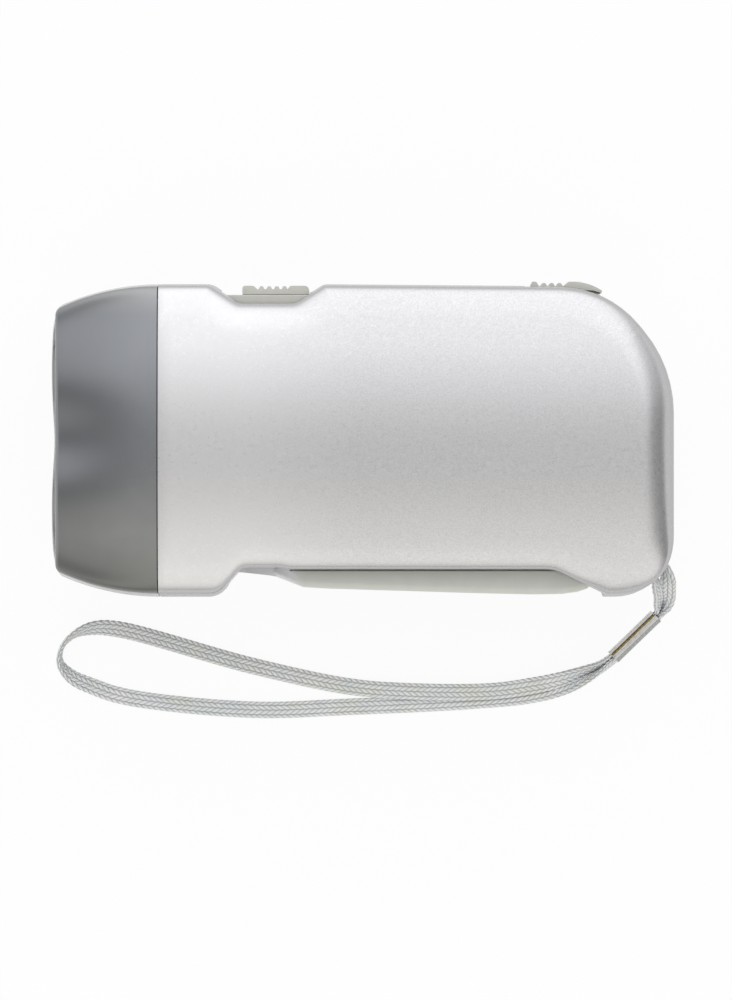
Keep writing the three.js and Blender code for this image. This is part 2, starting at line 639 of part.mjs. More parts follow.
const LATCH_STEM = [LATCH_FRONT_X + 1.3, LATCH_FRONT_X + 5.3];
const HOOK_LEG_X = 10.4;
const HOOK_ARM = [21.7, 23.3];
const HOOK_FOOT = [17.1, 18.3];
const NOSE_LOW_Y = HOOK_FOOT[1] + GAP;
const NOSE_FRONT_X = HOOK_LEG_X + 1.2 + LATCH_TRAVEL + GAP;

function latchSlider() {
  const low = SLIDER_TRACK_Y + RUNNING_GAP;
  const valley = 26.2;
  const small = [0, 1, 2].flatMap((k) => {
    const x = LATCH_FRONT_X + 2.2 + 1.32 * k;
    return [[x - 0.5, valley], [x - 0.2, 26.67], [x + 0.2, 26.67], [x + 0.5, valley]];
  });
  const outline = [
    [LATCH_FRONT_X, low], [LATCH_FRONT_X, 26.7], [LATCH_FRONT_X + 0.4, 26.93], [LATCH_FRONT_X + 1, 26.8],
    ...small,
    [LATCH_FRONT_X + 5.5, 26.5], [LATCH_FRONT_X + 6.3, 26.87], [LATCH_FRONT_X + 8, 26.85],
    [LATCH_FRONT_X + 10, 26.3], [LATCH_TAIL_X, 25.4], [LATCH_TAIL_X, 24.95], [LATCH_FRONT_X + 10.9, low],
  ];
  const cap = prism(outline.toReversed(), MID_Z - LATCH_WIDTH / 2, MID_Z + LATCH_WIDTH / 2);
  const stem = block(LATCH_STEM, [HOOK_ARM[0] + 0.2, low + 0.2], [MID_Z - 3, MID_Z + 3]);
  return join(cap, stem);
}

function latchHook() {
  const arm = block([HOOK_LEG_X, LATCH_STEM[1] + 1], HOOK_ARM, [MID_Z - 2, MID_Z + 2]);
  const leg = block([HOOK_LEG_X, HOOK_LEG_X + 1.2], [HOOK_FOOT[0], HOOK_ARM[1]], [MID_Z - 2, MID_Z + 2]);
  const foot = block([HOOK_LEG_X, HOOK_LEG_X + 3.1], HOOK_FOOT, [MID_Z - 2, MID_Z + 2]);
  const collar = block([LATCH_STEM[0] - 1, LATCH_STEM[1] + 1], HOOK_ARM, [MID_Z - 4.4, MID_Z + 4.4]);
  const window = block([LATCH_STEM[0] - 0.2, LATCH_STEM[1] + 0.2], [20, 25], [MID_Z - 3.2, MID_Z + 3.2]);
  return cut(join(arm, leg, foot, collar), window);
}

// Squeeze lever, folded into the body

const RACK_FOOT = { x: [26.7, 34.3], y: [-23.6, LEVER_TOP_Y - 0.2] };
const RACK_SCREWS = [[28.4, -22.1], [32.6, -22.1]];
const RACK_SCREW_RADIUS = 0.8;
const RACK_SCREW_REACH = 4.5;     // past the rack, into the lever

function squeezeLever() {
  const grip = prism([
    [-14.2, -21.6], [-15.2, -23.2], [-10.3, -24.9], [7, -25.5], [28.2, -26.1], [33.3, -26.0], [35.9, -25.6],
    [LEVER_TIP_X - 1.4, -24.9], [LEVER_TIP_X, -23.4], [LEVER_TIP_X, LEVER_TOP_Y], [-12.5, LEVER_TOP_Y],
  ], ...across(GRIP_WIDTH));
  const channel = prism([
    [-9.5, -22.6], [28, -26.1 + LEVER_WALL], [33, -26 + LEVER_WALL], [LEVER_TIP_X - 2.4, -22.8],
    [LEVER_TIP_X - LEVER_WALL, LEVER_TOP_Y + 1], [-9.5, LEVER_TOP_Y + 1],
  ], ...across(GRIP_WIDTH - 2 * LEVER_WALL));
  const neck = prism([
    [PIVOT_X, PIVOT_Y - PIVOT_BOSS], [-15, -23.2], [-9, -24.5], [-8, LEVER_TOP_Y], [-17.5, PIVOT_Y + 3.4],
  ], ...across(NECK_WIDTH));
  const boss = rod(pivot, PIVOT_BOSS, ...across(NECK_WIDTH), 18);
  const seat = block([RACK_FOOT.x[0] - 0.4, RACK_FOOT.x[1] + 0.4], [-24.4, LEVER_TOP_Y], [
    MID_Z - GRIP_WIDTH / 2 + 1, RACK_Z[0] - GAP,
  ]);
  const holes = RACK_SCREWS.map((at) => (
    rod(at, RACK_SCREW_RADIUS + RUNNING_GAP, RACK_Z[0] - RACK_SCREW_REACH - 0.6, RACK_Z[0], 12)
  ));
  const bore = rod(pivot, PIN_RADIUS + RUNNING_GAP, 0, THICKNESS);
  return cut(join(cut(grip, channel), neck, boss, seat), bore, ...holes);
}

const ROOT_WIDTH = 2.2;           // of a tooth, in modules
const TIP_WIDTH = 0.66;

// One tooth as points of an outline. outward is -1 for teeth that point to the centre.
function toothPoints(angle, pitchR, module, outward) {
  const half = (width, radius) => width / 2 / radius;
  const tip = pitchR + outward * 0.85 * module;
  const root = pitchR - outward * 1.25 * module;
  const [rootHalf, tipHalf] = [half(ROOT_WIDTH * module, root), half(TIP_WIDTH * module, tip)];
  return [[root, angle - rootHalf], [tip, angle - tipHalf], [tip, angle + tipHalf], [root, angle + rootHalf]];
}

const onCircle = ([cx, cy]) => ([radius, angle]) => [
  cx + radius * Math.cos(angle),
  cy + radius * Math.sin(angle),
];

function gear(centre, teeth, module, phase, lowZ, highZ) {
  const points = Array.from({ length: teeth }, (_, k) => (
    toothPoints(phase + 2 * Math.PI * k / teeth, pitchRadius(teeth, module), module, 1)
  )).flat();
  return prism(points.map(onCircle(centre)), lowZ, highZ);
}

function leverRack() {
  const start = Math.atan2(RACK_FOOT.y[1] - 1 - PIVOT_Y, 50);
  const teeth = [];
  const last = Math.ceil(LEVER_OPEN * RACK_TEETH / 360);
  for (let k = RACK_FIRST; k <= last; k += 1) {
    const angle = radians(DRIVE_ANGLE) + 2 * Math.PI * k / RACK_TEETH;
    teeth.push(...toothPoints(angle, rackPitch, RACK_MODULE, -1));
  }
  const inner = rackPitch + 1.25 * RACK_MODULE;
  const end = radians(DRIVE_ANGLE + LEVER_OPEN + RACK_TIP_ANGLE);
  const outerArc = Array.from({ length: 13 }, (_, k) => [inner + RACK_RIM, end + (start - end) * (k / 12)]);
  const outline = [[inner, start], ...teeth, [inner, end], ...outerArc].map(onCircle(pivot));
  const ring = prism(outline, ...RACK_Z);
  const foot = block(RACK_FOOT.x, RACK_FOOT.y, RACK_Z);
  const clearance = block([0, NOSE_FRONT_X], [HOOK_FOOT[0] - 0.5, 30], [0, THICKNESS]);
  const pocket = block([0, NOSE_FRONT_X + 1.9], [HOOK_FOOT[0] - GAP, NOSE_LOW_Y], [0, THICKNESS]);
  const holes = RACK_SCREWS.map((at) => rod(at, RACK_SCREW_RADIUS + 0.2, 0, THICKNESS, 12));
  return cut(join(ring, foot), clearance, pocket, ...holes);
}

// A screw along Z: the shank runs from the head toward shankEnd
function screw(at, headRadius, headRange, shankRadius, shankEnd) {
  const [low, high] = headRange;
  const shank = shankEnd > high ? [low + 0.2, shankEnd] : [shankEnd, high - 0.2];
  const head = rod(at, headRadius, low, high, 10);
  const driven = shankEnd > high ? [low - 1, low + 0.6] : [high - 0.6, high + 1];
  const crossSlots = [
    block([at[0] - headRadius * 0.6, at[0] + headRadius * 0.6], [at[1] - 0.2, at[1] + 0.2], driven),
    block([at[0] - 0.2, at[0] + 0.2], [at[1] - headRadius * 0.6, at[1] + headRadius * 0.6], driven),
  ];
  return cut(join(head, rod(at, shankRadius, ...shank, 8)), ...crossSlots);
}

// Gear train. Each gear starts at a phase that puts a tooth of one into a gap of the other.

const CLUTCH_TIP = 6.8;
const CLUTCH_RING = CLUTCH_TIP + GAP;
const PAWL_SIDE = [2.2, 3.2];      // edges of a pawl arm, from the line through the axle
const bore = (at) => rod(at, AXLE_RADIUS + RUNNING_GAP, 0, THICKNESS, 12);

function drivePinion() {
  const phase = radians(DRIVE_ANGLE) + Math.PI / DRIVE_TEETH;
  const hub = rod(driveAxle, 3.6, DRIVE_Z[1] - 0.2, MAIN_Z[0] + 1.6);
  const pawls = [0, 120, 240].map((degrees) => {
    const [ux, uy] = [Math.cos(radians(degrees)), Math.sin(radians(degrees))];
    const at = (radial, side) => [
      driveAxle[0] + ux * radial - uy * side,
      driveAxle[1] + uy * radial + ux * side,
    ];
    const [near, far] = PAWL_SIDE;
    const tip = Math.sqrt(CLUTCH_TIP ** 2 - far ** 2);
    const outline = [at(2, near), at(2, far), at(tip, far), at(tip - 0.4, near)];
    return prism(outline, MAIN_Z[0] + GAP, MAIN_Z[0] + 1.5);
  });
  const toothed = gear(driveAxle, DRIVE_TEETH, RACK_MODULE, phase, ...DRIVE_Z);
  return cut(join(toothed, hub, ...pawls), bore(driveAxle));
}

function mainGear() {
  const body = gear(driveAxle, MAIN_TEETH, MAIN_MODULE, radians(SECOND_ANGLE), ...MAIN_Z);
  const ratchet = Array.from({ length: 12 }, (_, k) => [
    [CLUTCH_RING, radians(30 * k)], [CLUTCH_RING + 0.9, radians(30 * k + 2)],
    [CLUTCH_RING + 0.5, radians(30 * k + 15)],
  ]).flat().map(onCircle(driveAxle));
  const cup = prism(ratchet, MAIN_Z[0] - 1, MAIN_Z[0] + 1.9);
  return cut(body, cup, bore(driveAxle));
}

function intermediateGear() {
  const phase = radians(SECOND_ANGLE) + Math.PI + Math.PI / SECOND_PINION_TEETH;
  const pinion = gear(secondAxle, SECOND_PINION_TEETH, MAIN_MODULE, phase, ...SECOND_PINION_Z);
  const wheel = gear(secondAxle, SECOND_TEETH, FINE_MODULE, radians(ROTOR_ANGLE), ...SECOND_Z);
  const neck = rod(secondAxle, 3, SECOND_PINION_Z[1] - 0.2, SECOND_Z[0] + 0.2);
  return cut(join(pinion, wheel, neck), bore(secondAxle));
}

const HUB_RADIUS = 3.6;

function rotorHub() {
  const phase = radians(ROTOR_ANGLE) + Math.PI + Math.PI / ROTOR_TEETH;
  const sleeve = rod(rotorAxle, HUB_RADIUS, FLYWHEEL_Z[0], MAGNET_Z[1] + 0.5);
  const flange = rod(rotorAxle, 5, MAGNET_Z[1] + GAP, SECOND_Z[0] - 0.6);
  const pinion = gear(rotorAxle, ROTOR_TEETH, FINE_MODULE, phase, SECOND_Z[0] - 0.8, SECOND_Z[1] + 0.4);
  return cut(join(sleeve, flange, pinion), bore(rotorAxle));
}

const ringAboutRotor = (radius, range) => cut(
  rod(rotorAxle, radius, ...range, 24),
  rod(rotorAxle, HUB_RADIUS + RUNNING_GAP, 0, THICKNESS),
);

const AXLE_LOW_Z = FLOOR_Z + 0.4;
const AXLE_HIGH_Z = BEARING_PLATE_Z + BEARING_PLATE_THICKNESS;

function bearingPlate() {
  const plate = prism([
    [-13.5, -6.5], [-8, -8.5], [21, -8], [27, -5], [27.5, 9], [23, 11.5], [7, 12], [-6, 6.5], [-13.5, -2],
  ], BEARING_PLATE_Z, BEARING_PLATE_Z + BEARING_PLATE_THICKNESS);
  const screwHoles = PLATE_SCREWS.map((at) => rod(at, PLATE_SCREW_RADIUS + 0.2, MID_Z, THICKNESS, 12));
  return cut(plate, ...axleHoles(MID_Z, THICKNESS), ...screwHoles);
}

// Generator: a laminated core with its poles round the magnet, and a coil on its back

const CORE_THICKNESS = 6;
const CORE_LOW_Z = (MAGNET_Z[0] + MAGNET_Z[1] - CORE_THICKNESS) / 2;
const CORE_HIGH_Z = CORE_LOW_Z + CORE_THICKNESS;
const poleInner = MAGNET_RADIUS + AIR_GAP;
const poleOuter = poleInner + POLE_WIDTH;
const YOKE_X = [-31, -27];
const CORE_POSTS = [
  [-24.5, rotorAxle[1] + poleInner + POLE_WIDTH / 2],
  [-24.5, rotorAxle[1] - poleInner - POLE_WIDTH / 2],
  [-3, rotorAxle[1] - poleInner - POLE_WIDTH / 2],
];

function statorCore() {
  const [rx, ry] = rotorAxle;
  const outline = block([YOKE_X[0], rx + 6], [ry - poleOuter, ry + poleOuter], [CORE_LOW_Z, CORE_HIGH_Z]);
  const coilWindow = block([YOKE_X[1], rx], [ry - poleInner, ry + poleInner], [0, THICKNESS]);
  return cut(outline, coilWindow, rod(rotorAxle, poleInner, 0, THICKNESS, 24));
}

const BOBBIN_Y = [-8.6, 10.6];
const BOBBIN_FLANGE = 1;
const coilBox = (grow, yRange) => block(
  [YOKE_X[0] - grow, YOKE_X[1] + grow],
  yRange,
  [CORE_LOW_Z - grow, CORE_HIGH_Z + grow],
);

function coilBobbin() {
  const [low, high] = BOBBIN_Y;
  return cut(join(
    coilBox(1, BOBBIN_Y),
    coilBox(3, [low, low + BOBBIN_FLANGE]),
    coilBox(3, [high - BOBBIN_FLANGE, high]),
  ), coilBox(0.2, [low - 1, high + 1]));
}

function coilWinding() {
  const range = [BOBBIN_Y[0] + BOBBIN_FLANGE + 0.1, BOBBIN_Y[1] - BOBBIN_FLANGE - 0.1];
  return cut(coilBox(2.6, range), coilBox(1.1, [range[0] - 1, range[1] + 1]));
}

// Return spring of the lever, wound round its pin

const SPRING_WIRE = 0.28;
const SPRING_RADIUS = 2.3;
const SPRING_TURNS = 3;
const SPRING_PITCH = 0.8;

function leverSpring() {
  const low = MID_Z + NECK_WIDTH / 2 + SPRING_WIRE + 0.2;
  const points = [];
  const steps = SPRING_TURNS * 8;
  for (let k = 0; k <= steps; k += 1) {
    const angle = 2 * Math.PI * k / 8;
    points.push([
      PIVOT_X + SPRING_RADIUS * Math.cos(angle),
      PIVOT_Y + SPRING_RADIUS * Math.sin(angle),
      low + SPRING_PITCH * k / 8,
    ]);
  }
  points.unshift([PIVOT_X + SPRING_RADIUS + 0.2, PIVOT_Y - 2.6, low]);
  points.push([PIVOT_X + SPRING_RADIUS + 0.2, PIVOT_Y + 4, low + SPRING_PITCH * SPRING_TURNS]);
  return wire(points, SPRING_WIRE, steps + 8);
}

// Strap: a flat braid that leaves the corner slot, runs through the crimp and lies beside the torch in a loop

// Each point is x, y, z and the roll of the strap: 0 lies flat, 90 stands on its edge
const STRAP_ROUTE = [
  [45.96, -33.51, 7.12, 90], [42.04, -37.55, 2.8, 90], [40.3, -38.7, 1.75, 80], [37.3, -39.9, 1.6, 55],
  [33.8, -41.2, 1.6, 25], [28.6, -42.3, 1.6, 5], [21.7, -43.2, 1.6, 0], [7.9, -43.2, 1.4, 0],
  [-2.5, -42.4, 0.8, 0], [-19.5, -38.8, 0.5, 0], [-42.6, -32.5, 0.7, 12],
  [-47.0, -32.3, 1.2, 40], [-50.2, -33.4, 1.6, 75], [-52.3, -35.6, 1.6, 90], [-52.6, -38.2, 1.6, 75],
  [-50.7, -40.6, 1.3, 42], [-47.2, -42.3, 0.8, 15], [-41.2, -44.2, 0.5, 0], [-19.5, -46.4, 0.5, 0],
  [-2.5, -45.9, 0.5, 0], [18.2, -44.9, 0.5, 0], [28.6, -43.9, 0.6, 5], [35.5, -42.2, 1.3, 40],
  [40.7, -39.8, 1.9, 80], [42.68, -38.17, 2.8, 90], [46.77, -33.96, 7.3, 90], [50.86, -29.75, 11.8, 90],
  [51.7, -27.8, 13.9, 50], [51.75, -25.2, 16.9, 5], [51.5, -22.2, 19.5, 60], [49.3, -19.0, 20, 90],
  [47.2, -18.1, 20, 90], [44.9, -18.5, 20, 90], [44.4, -20.6, 20, 90], [46.1, -21.9, 20, 90],
  [48.5, -23.1, 20, 90],
  [49.6, -25.4, 18.4, 90], [50.1, -27.6, 14.8, 90], [50.22, -29.13, 11.8, 90], [46.3, -33.17, 7.48, 90],
];
const STRAP_STEPS = 66;

function strapRings(steps, width, thickness) {
  const path = new THREE.CatmullRomCurve3(STRAP_ROUTE.map(([x, y, z]) => new Vector3(x, y, z)));
  const rolls = new THREE.CatmullRomCurve3(STRAP_ROUTE.map(([, , , roll], k) => new Vector3(k, roll, 0)));
  const up = new Vector3(0, 0, 1);
  return Array.from({ length: steps + 1 }, (_, k) => {
    const at = path.getPoint(k / steps);
    const along = path.getTangent(k / steps);
    const level = new Vector3().crossVectors(along, up).normalize();
    const upright = new Vector3().crossVectors(level, along);
    const roll = radians(rolls.getPoint(k / steps).y);
    const wide = level.clone().multiplyScalar(Math.cos(roll)).addScaledVector(upright, Math.sin(roll));
    const thin = new Vector3().crossVectors(wide, along);
    return Array.from({ length: 8 }, (_, i) => {
      const angle = Math.PI * (i + 0.5) / 4;
      const flat = Math.cos(Math.PI / 8);
      return at.clone()
        .addScaledVector(wide, (width / 2) * Math.cos(angle) / flat)
        .addScaledVector(thin, (thickness / 2) * Math.sin(angle) / flat);
    });
  });
}

// The ends of a strap ring stand square to the route, so each cap is a fan
function wristStrap() {
  const rings = strapRings(STRAP_STEPS, STRAP_WIDTH, STRAP_THICKNESS);
  const positions = rings.flat().flatMap((p) => p.toArray());
  const index = [];
  for (let k = 0; k < STRAP_STEPS; k += 1) {
    for (let i = 0; i < 8; i += 1) {
      const [a, b] = [k * 8 + i, k * 8 + (i + 1) % 8];
      index.push(a, b, b + 8, a, b + 8, a + 8);
    }
  }
  for (let i = 1; i < 7; i += 1) {
    index.push(0, i + 1, i);
    index.push(STRAP_STEPS * 8, STRAP_STEPS * 8 + i, STRAP_STEPS * 8 + i + 1);
  }
  const geometry = new THREE.BufferGeometry();
  geometry.setAttribute('position', new THREE.Float32BufferAttribute(positions, 3));
  geometry.setIndex(index);
  return rightWayOut(geometry);
}

const CRIMP_TOP = new Vector3(50.0, -30.0, 11.2);
const CRIMP_LOW = new Vector3(42.9, -37.3, 3.4);

function strapCrimp() {
  const inside = [2 * STRAP_THICKNESS + 0.5, STRAP_WIDTH + 0.5];
  const sleeve = (grow, extra) => {
    const geometry = new THREE.BoxGeometry(inside[0] + grow, inside[1] + grow, CRIMP_LENGTH + extra);
    const along = CRIMP_LOW.clone().sub(CRIMP_TOP).normalize();
    const side = new Vector3().crossVectors(along, new Vector3(0, 0, 1)).normalize();
    const upright = new Vector3().crossVectors(along, side);
    geometry.applyMatrix4(new THREE.Matrix4().makeBasis(side, upright, along));
    const middle = CRIMP_TOP.clone().add(CRIMP_LOW).multiplyScalar(0.5);
    geometry.translate(middle.x, middle.y, middle.z);
    return rightWayOut(geometry);
  };
  return cut(sleeve(2 * CRIMP_WALL, 0), sleeve(0, 4));
}

// Assembly

add('upper_shell', upperShell(), ...SILVER);
add('lower_shell', lowerShell(), ...SILVER);
add('head_bezel', headBezel(), ...SMOKED);
add('front_lens', frontLens(), 0xd8dcdd, 0.1);
add('reflector', reflector(), 0xdfe2e4, 0.1, 0.9);
LAMPS.forEach(([name, y]) => add(`led_${name}`, lamp(y), 0xf4f4ee, 0.15));
const ledBoardWidth = LAMP_SPACING + 8.5;
add('led_board', block(
  [LED_BOARD_X, LED_BOARD_X + LED_BOARD_THICKNESS],
  [-ledBoardWidth, ledBoardWidth],
  across(2 * LAMP_RADIUS + 1.6),
), ...BOARD);

add('switch_plate', switchPlate(), ...GREY);
add('switch_knob', switchKnob(), ...GREY);
add('switch_case', switchCase(), ...BLACK);
add('switch_contact', switchContact(), ...COPPER);
add('latch_slider', latchSlider(), ...GREY);
add('latch_hook', latchHook(), ...STEEL);

add('squeeze_lever', squeezeLever(), ...GREY);
add('lever_rack', leverRack(), ...NYLON);
RACK_SCREWS.forEach((at, k) => {
  const headRange = [RACK_Z[1] + 0.1, RACK_Z[1] + 1.1];
  const end = RACK_Z[0] - RACK_SCREW_REACH;
  add(`rack_screw_${k + 1}`, screw(at, 1.5, headRange, RACK_SCREW_RADIUS, end), ...STEEL);
});
add('lever_pin', rod(pivot, PIN_RADIUS, MID_Z - PIN_HALF_LENGTH, MID_Z + PIN_HALF_LENGTH), ...STEEL);
add('lever_spring', leverSpring(), ...STEEL);

add('drive_pinion', drivePinion(), ...NYLON);
add('main_gear', mainGear(), ...NYLON);
add('intermediate_gear', intermediateGear(), ...NYLON);
add('rotor_hub', rotorHub(), ...NYLON);
add('rotor_magnet', ringAboutRotor(MAGNET_RADIUS, MAGNET_Z), ...BLACK);
add('flywheel', ringAboutRotor(MAGNET_RADIUS, FLYWHEEL_Z), ...STEEL);

const collar = rod(secondAxle, 1.8, MAGNET_Z[1] + 0.35, SECOND_PINION_Z[0] - 0.25);
add('drive_axle', rod(driveAxle, AXLE_RADIUS, AXLE_LOW_Z, AXLE_HIGH_Z, 12), ...STEEL);
add('second_axle', join(rod(secondAxle, AXLE_RADIUS, AXLE_LOW_Z, AXLE_HIGH_Z, 12), collar), ...STEEL);
add('rotor_axle', rod(rotorAxle, AXLE_RADIUS, AXLE_LOW_Z, AXLE_HIGH_Z, 12), ...STEEL);
add('bearing_plate', bearingPlate(), ...NYLON);
PLATE_SCREWS.forEach((at, k) => {
  const headRange = [BEARING_PLATE_Z - 1.1, BEARING_PLATE_Z - 0.1];
  const end = BEARING_PLATE_Z + PLATE_SCREW_REACH;
  add(`plate_screw_${k + 1}`, screw(at, 1.6, headRange, PLATE_SCREW_RADIUS, end), ...STEEL);
});

add('stator_core', statorCore(), ...STEEL);
add('coil_bobbin', coilBobbin(), ...NYLON);
add('coil_winding', coilWinding(), ...COPPER);
const boardTop = FLOOR_Z + GAP + 1.4;
add('rectifier_board', block([-32, -12], [-9, 11], [FLOOR_Z + GAP, boardTop]), ...BOARD);

for (let k = 0; k < CELL_COUNT; k += 1) {
  const low = CELL_LOW_Z + 0.2 + k * (CELL_HEIGHT + 0.1);
  add(`battery_cell_${k + 1}`, rod(CELL_CENTRE, CELL_RADIUS, low, low + CELL_HEIGHT, 18), ...STEEL);
}
const sleeveTop = CELL_LOW_Z + CELL_COUNT * (CELL_HEIGHT + 0.1) + 0.2;
add('battery_sleeve', cut(
  rod(CELL_CENTRE, SLEEVE_RADIUS, CELL_LOW_Z, sleeveTop, 18),
  rod(CELL_CENTRE, CELL_RADIUS + 0.2, 0, THICKNESS, 18),
), 0x2f66a8, 0.4);

CASING_SCREWS.forEach((at, k) => {
  const headRange = [COUNTERBORE_Z - 1.5, COUNTERBORE_Z - 0.1];
  add(`casing_screw_${k + 1}`, screw(at, SCREW_HEAD, headRange, SCREW_RADIUS, MID_Z + SCREW_REACH), ...STEEL);
});
add('strap_post', rod(strapPost, POST_RADIUS, ...across(2 * POST_HALF_LENGTH), 16), ...STEEL);

const WIRE_RADIUS = 0.45;
const boardEdge = boardTop - 0.7;
const WIRES = [
  ['battery_wire_positive', RED, 12, [
    [38.4, 6, sleeveTop + 0.8], [35.8, 11.8, sleeveTop + 1.3], [34.1, 14.2, 16.5], [32, 14.4, 9],
    [26, 14.8, 4], [10, 14.4, 3], [-4, 13, boardEdge], [-11.7, 9.6, boardEdge],
  ]],
  ['battery_wire_negative', BLACK, 8, [
    [31.2, 6, 4.2], [27.5, 9.5, 3.6], [20, 12.2, 3], [8, 12.4, boardEdge], [-4, 11.2, boardEdge],
    [-11.7, 7.8, boardEdge],
  ]],
  ['led_wire_positive', RED, 5, [
    [-31, -2, boardTop + 0.7], [-34, -2.5, 4.9], [-37.5, -3, 6.5], [LED_BOARD_X + 2, -3.5, 10],
  ]],
  ['led_wire_negative', BLACK, 5, [
    [-31, 2, boardTop + 0.7], [-34, 2.5, 4.9], [-37.5, 3, 6.5], [LED_BOARD_X + 2, 3.5, 10],
  ]],
  ['switch_wire_1', RED, 5, [
    [-19.5, 18.8, MID_Z - 5.6], [-19.5, 18.6, 9], [-19.6, 16, 5], [-19.8, 10, boardTop + 0.7],
  ]],
  ['switch_wire_2', BLACK, 5, [
    [-15, 18.8, MID_Z - 5.6], [-15, 18.6, 9], [-15.2, 16, 5], [-15.6, 10, boardTop + 0.7],
  ]],
  ['coil_wire_1', COPPER, 4, [
    [-23.6, 9.9, CORE_LOW_Z - 3.6], [-23, 9.4, 7], [-22.6, 7.5, boardTop + 0.7],
  ]],
  ['coil_wire_2', COPPER, 4, [
    [-23.6, -8, CORE_LOW_Z - 3.6], [-23, -7.8, 7], [-22.6, -6, boardTop + 0.7],
  ]],
];
WIRES.forEach(([name, look, steps, points]) => add(name, wire(points, WIRE_RADIUS, steps), ...look));

add('wrist_strap', wristStrap(), 0xdfe1e3, 0.8);
add('strap_crimp', strapCrimp(), ...STEEL);

export default group;
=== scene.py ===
"""The looks of a hand squeezed dynamo torch that lies on its side, with its wrist strap beside it.

Lengths are in millimetres and are turned into metres where a mesh is made. The tail points to +X, the head to
-X, the squeeze lever to -Y, and the torch rests on z = 0. The camera looks straight down.
"""

import json
import math
from collections import namedtuple

import bmesh
import bpy
from mathutils import Matrix, Vector
from mathutils.geometry import delaunay_2d_cdt


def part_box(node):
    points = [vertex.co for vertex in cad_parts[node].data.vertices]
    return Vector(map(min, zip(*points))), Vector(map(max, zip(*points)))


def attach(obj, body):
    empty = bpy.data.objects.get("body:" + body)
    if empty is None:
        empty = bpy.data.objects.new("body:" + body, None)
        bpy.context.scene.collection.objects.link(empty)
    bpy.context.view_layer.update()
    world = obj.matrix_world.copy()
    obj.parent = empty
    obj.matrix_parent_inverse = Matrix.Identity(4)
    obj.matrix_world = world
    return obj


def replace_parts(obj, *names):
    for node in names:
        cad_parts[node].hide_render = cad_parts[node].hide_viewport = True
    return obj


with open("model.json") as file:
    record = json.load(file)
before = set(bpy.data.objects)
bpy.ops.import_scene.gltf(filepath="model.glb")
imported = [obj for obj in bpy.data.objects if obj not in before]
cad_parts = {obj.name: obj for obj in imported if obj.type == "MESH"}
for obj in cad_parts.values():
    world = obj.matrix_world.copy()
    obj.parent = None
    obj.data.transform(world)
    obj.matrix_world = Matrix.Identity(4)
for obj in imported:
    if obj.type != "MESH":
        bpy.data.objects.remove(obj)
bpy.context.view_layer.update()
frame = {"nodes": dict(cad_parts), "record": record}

MM = 0.001
Z_AXIS = Vector((0, 0, 1))


def box_mm(node):
    low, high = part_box(node)
    return low / MM, high / MM


# Sizes taken from the frame

shell_low, shell_high = box_mm("upper_shell")
head_low = box_mm("head_bezel")[0]
plate_low, plate_high = box_mm("switch_plate")
knob_low, knob_high = box_mm("switch_knob")
slider_low, slider_high = box_mm("latch_slider")
lever_low, lever_high = box_mm("squeeze_lever")

SEAM_X = shell_low.x
TAIL_X = shell_high.x
TOP_Y = shell_high.y
BOTTOM_Y = shell_low.y
THICKNESS = shell_high.z
MID_Z = THICKNESS / 2

# Body

FILLET = 6.0                # from the side of the body to the edge of a broad face
DRAFT = 0.7                 # how much of it is the lean of the side walls
WALL = 1.8
CROWN = 1.9                 # how far the broad faces fall from their middle to their upper and lower edges
CHAMFER = 0.2               # at the parting line
EDGE_BEVEL = 0.22           # at the rims of the openings
RECESS_FLOOR_Y = 23.55
RECESS_FRONT_X = -21.0
RECESS_REAR_X = -11.8
RECESS_SLOPE = 0.62
SLOT_EDGE_Y = -22.05
SLOT_FRONT_X = -24.2
SLOT_REAR_X = 31.9
SLOT_SLOPE = 0.52
FACE_GRID = 2.6             # spacing of the points that fill a broad face
EDGE_STEP = 1.4             # longest straight step along the outline
ARC_STEP = math.radians(7)
TRACK_FLOOR_Y = 25.3        # of the latch slider's track

# Openings in the side walls: least and greatest x, the side of the middle that they are on, half width

Opening = namedtuple("Opening", "low high side half_width")
LEVER_SLOT = Opening(-23.2, 40.3, -1, 11.0)
SWITCH_OPENING = Opening(plate_low.x - 0.3, plate_high.x + 0.3, 1, 7.3)
STRAP_SLOT = Opening(45.8, 60.0, -1, 2.3)
SLIDER_TRACK = Opening(slider_low.x - 0.8, 46.25, 1, 5.4)
STEM_SLOT = Opening(slider_low.x + 0.9, slider_low.x + 8.7, 1, 3.4)


# Meshes


def shade(mesh, sharp):
    mesh.polygons.foreach_set("use_smooth", [True] * len(mesh.polygons))
    mesh.set_sharp_from_angle(angle=math.radians(sharp))


def add_mesh(name, verts, faces, finish, body="body", sharp=35, weld=False):
    """A piece of the object from points in millimetres. finish names its material."""
    mesh = bpy.data.meshes.new(name)
    mesh.from_pydata([tuple(c * MM for c in v) for v in verts], [], faces)
    bm = bmesh.new()
    bm.from_mesh(mesh)
    if weld:
        bmesh.ops.remove_doubles(bm, verts=bm.verts, dist=1e-3 * MM)
        bmesh.ops.dissolve_degenerate(bm, edges=bm.edges, dist=1e-6)
    bmesh.ops.recalc_face_normals(bm, faces=bm.faces)
    bm.to_mesh(mesh)
    bm.free()
    shade(mesh, sharp)
    obj = bpy.data.objects.new(name, mesh)
    bpy.context.scene.collection.objects.link(obj)
    mesh.materials.append(MATERIALS[finish])
    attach(obj, body)
    return obj


def modify(obj, kind, sharp=35, **settings):
    """Replaces the mesh by what a modifier makes of it."""
    modifier = obj.modifiers.new("modifier", kind)
    for key, value in settings.items():
        setattr(modifier, key, value)
    bpy.context.view_layer.update()
    mesh = bpy.data.meshes.new_from_object(obj.evaluated_get(bpy.context.evaluated_depsgraph_get()))
    mesh.name = obj.name
    obj.modifiers.clear()
    obj.data = mesh
    shade(mesh, sharp)


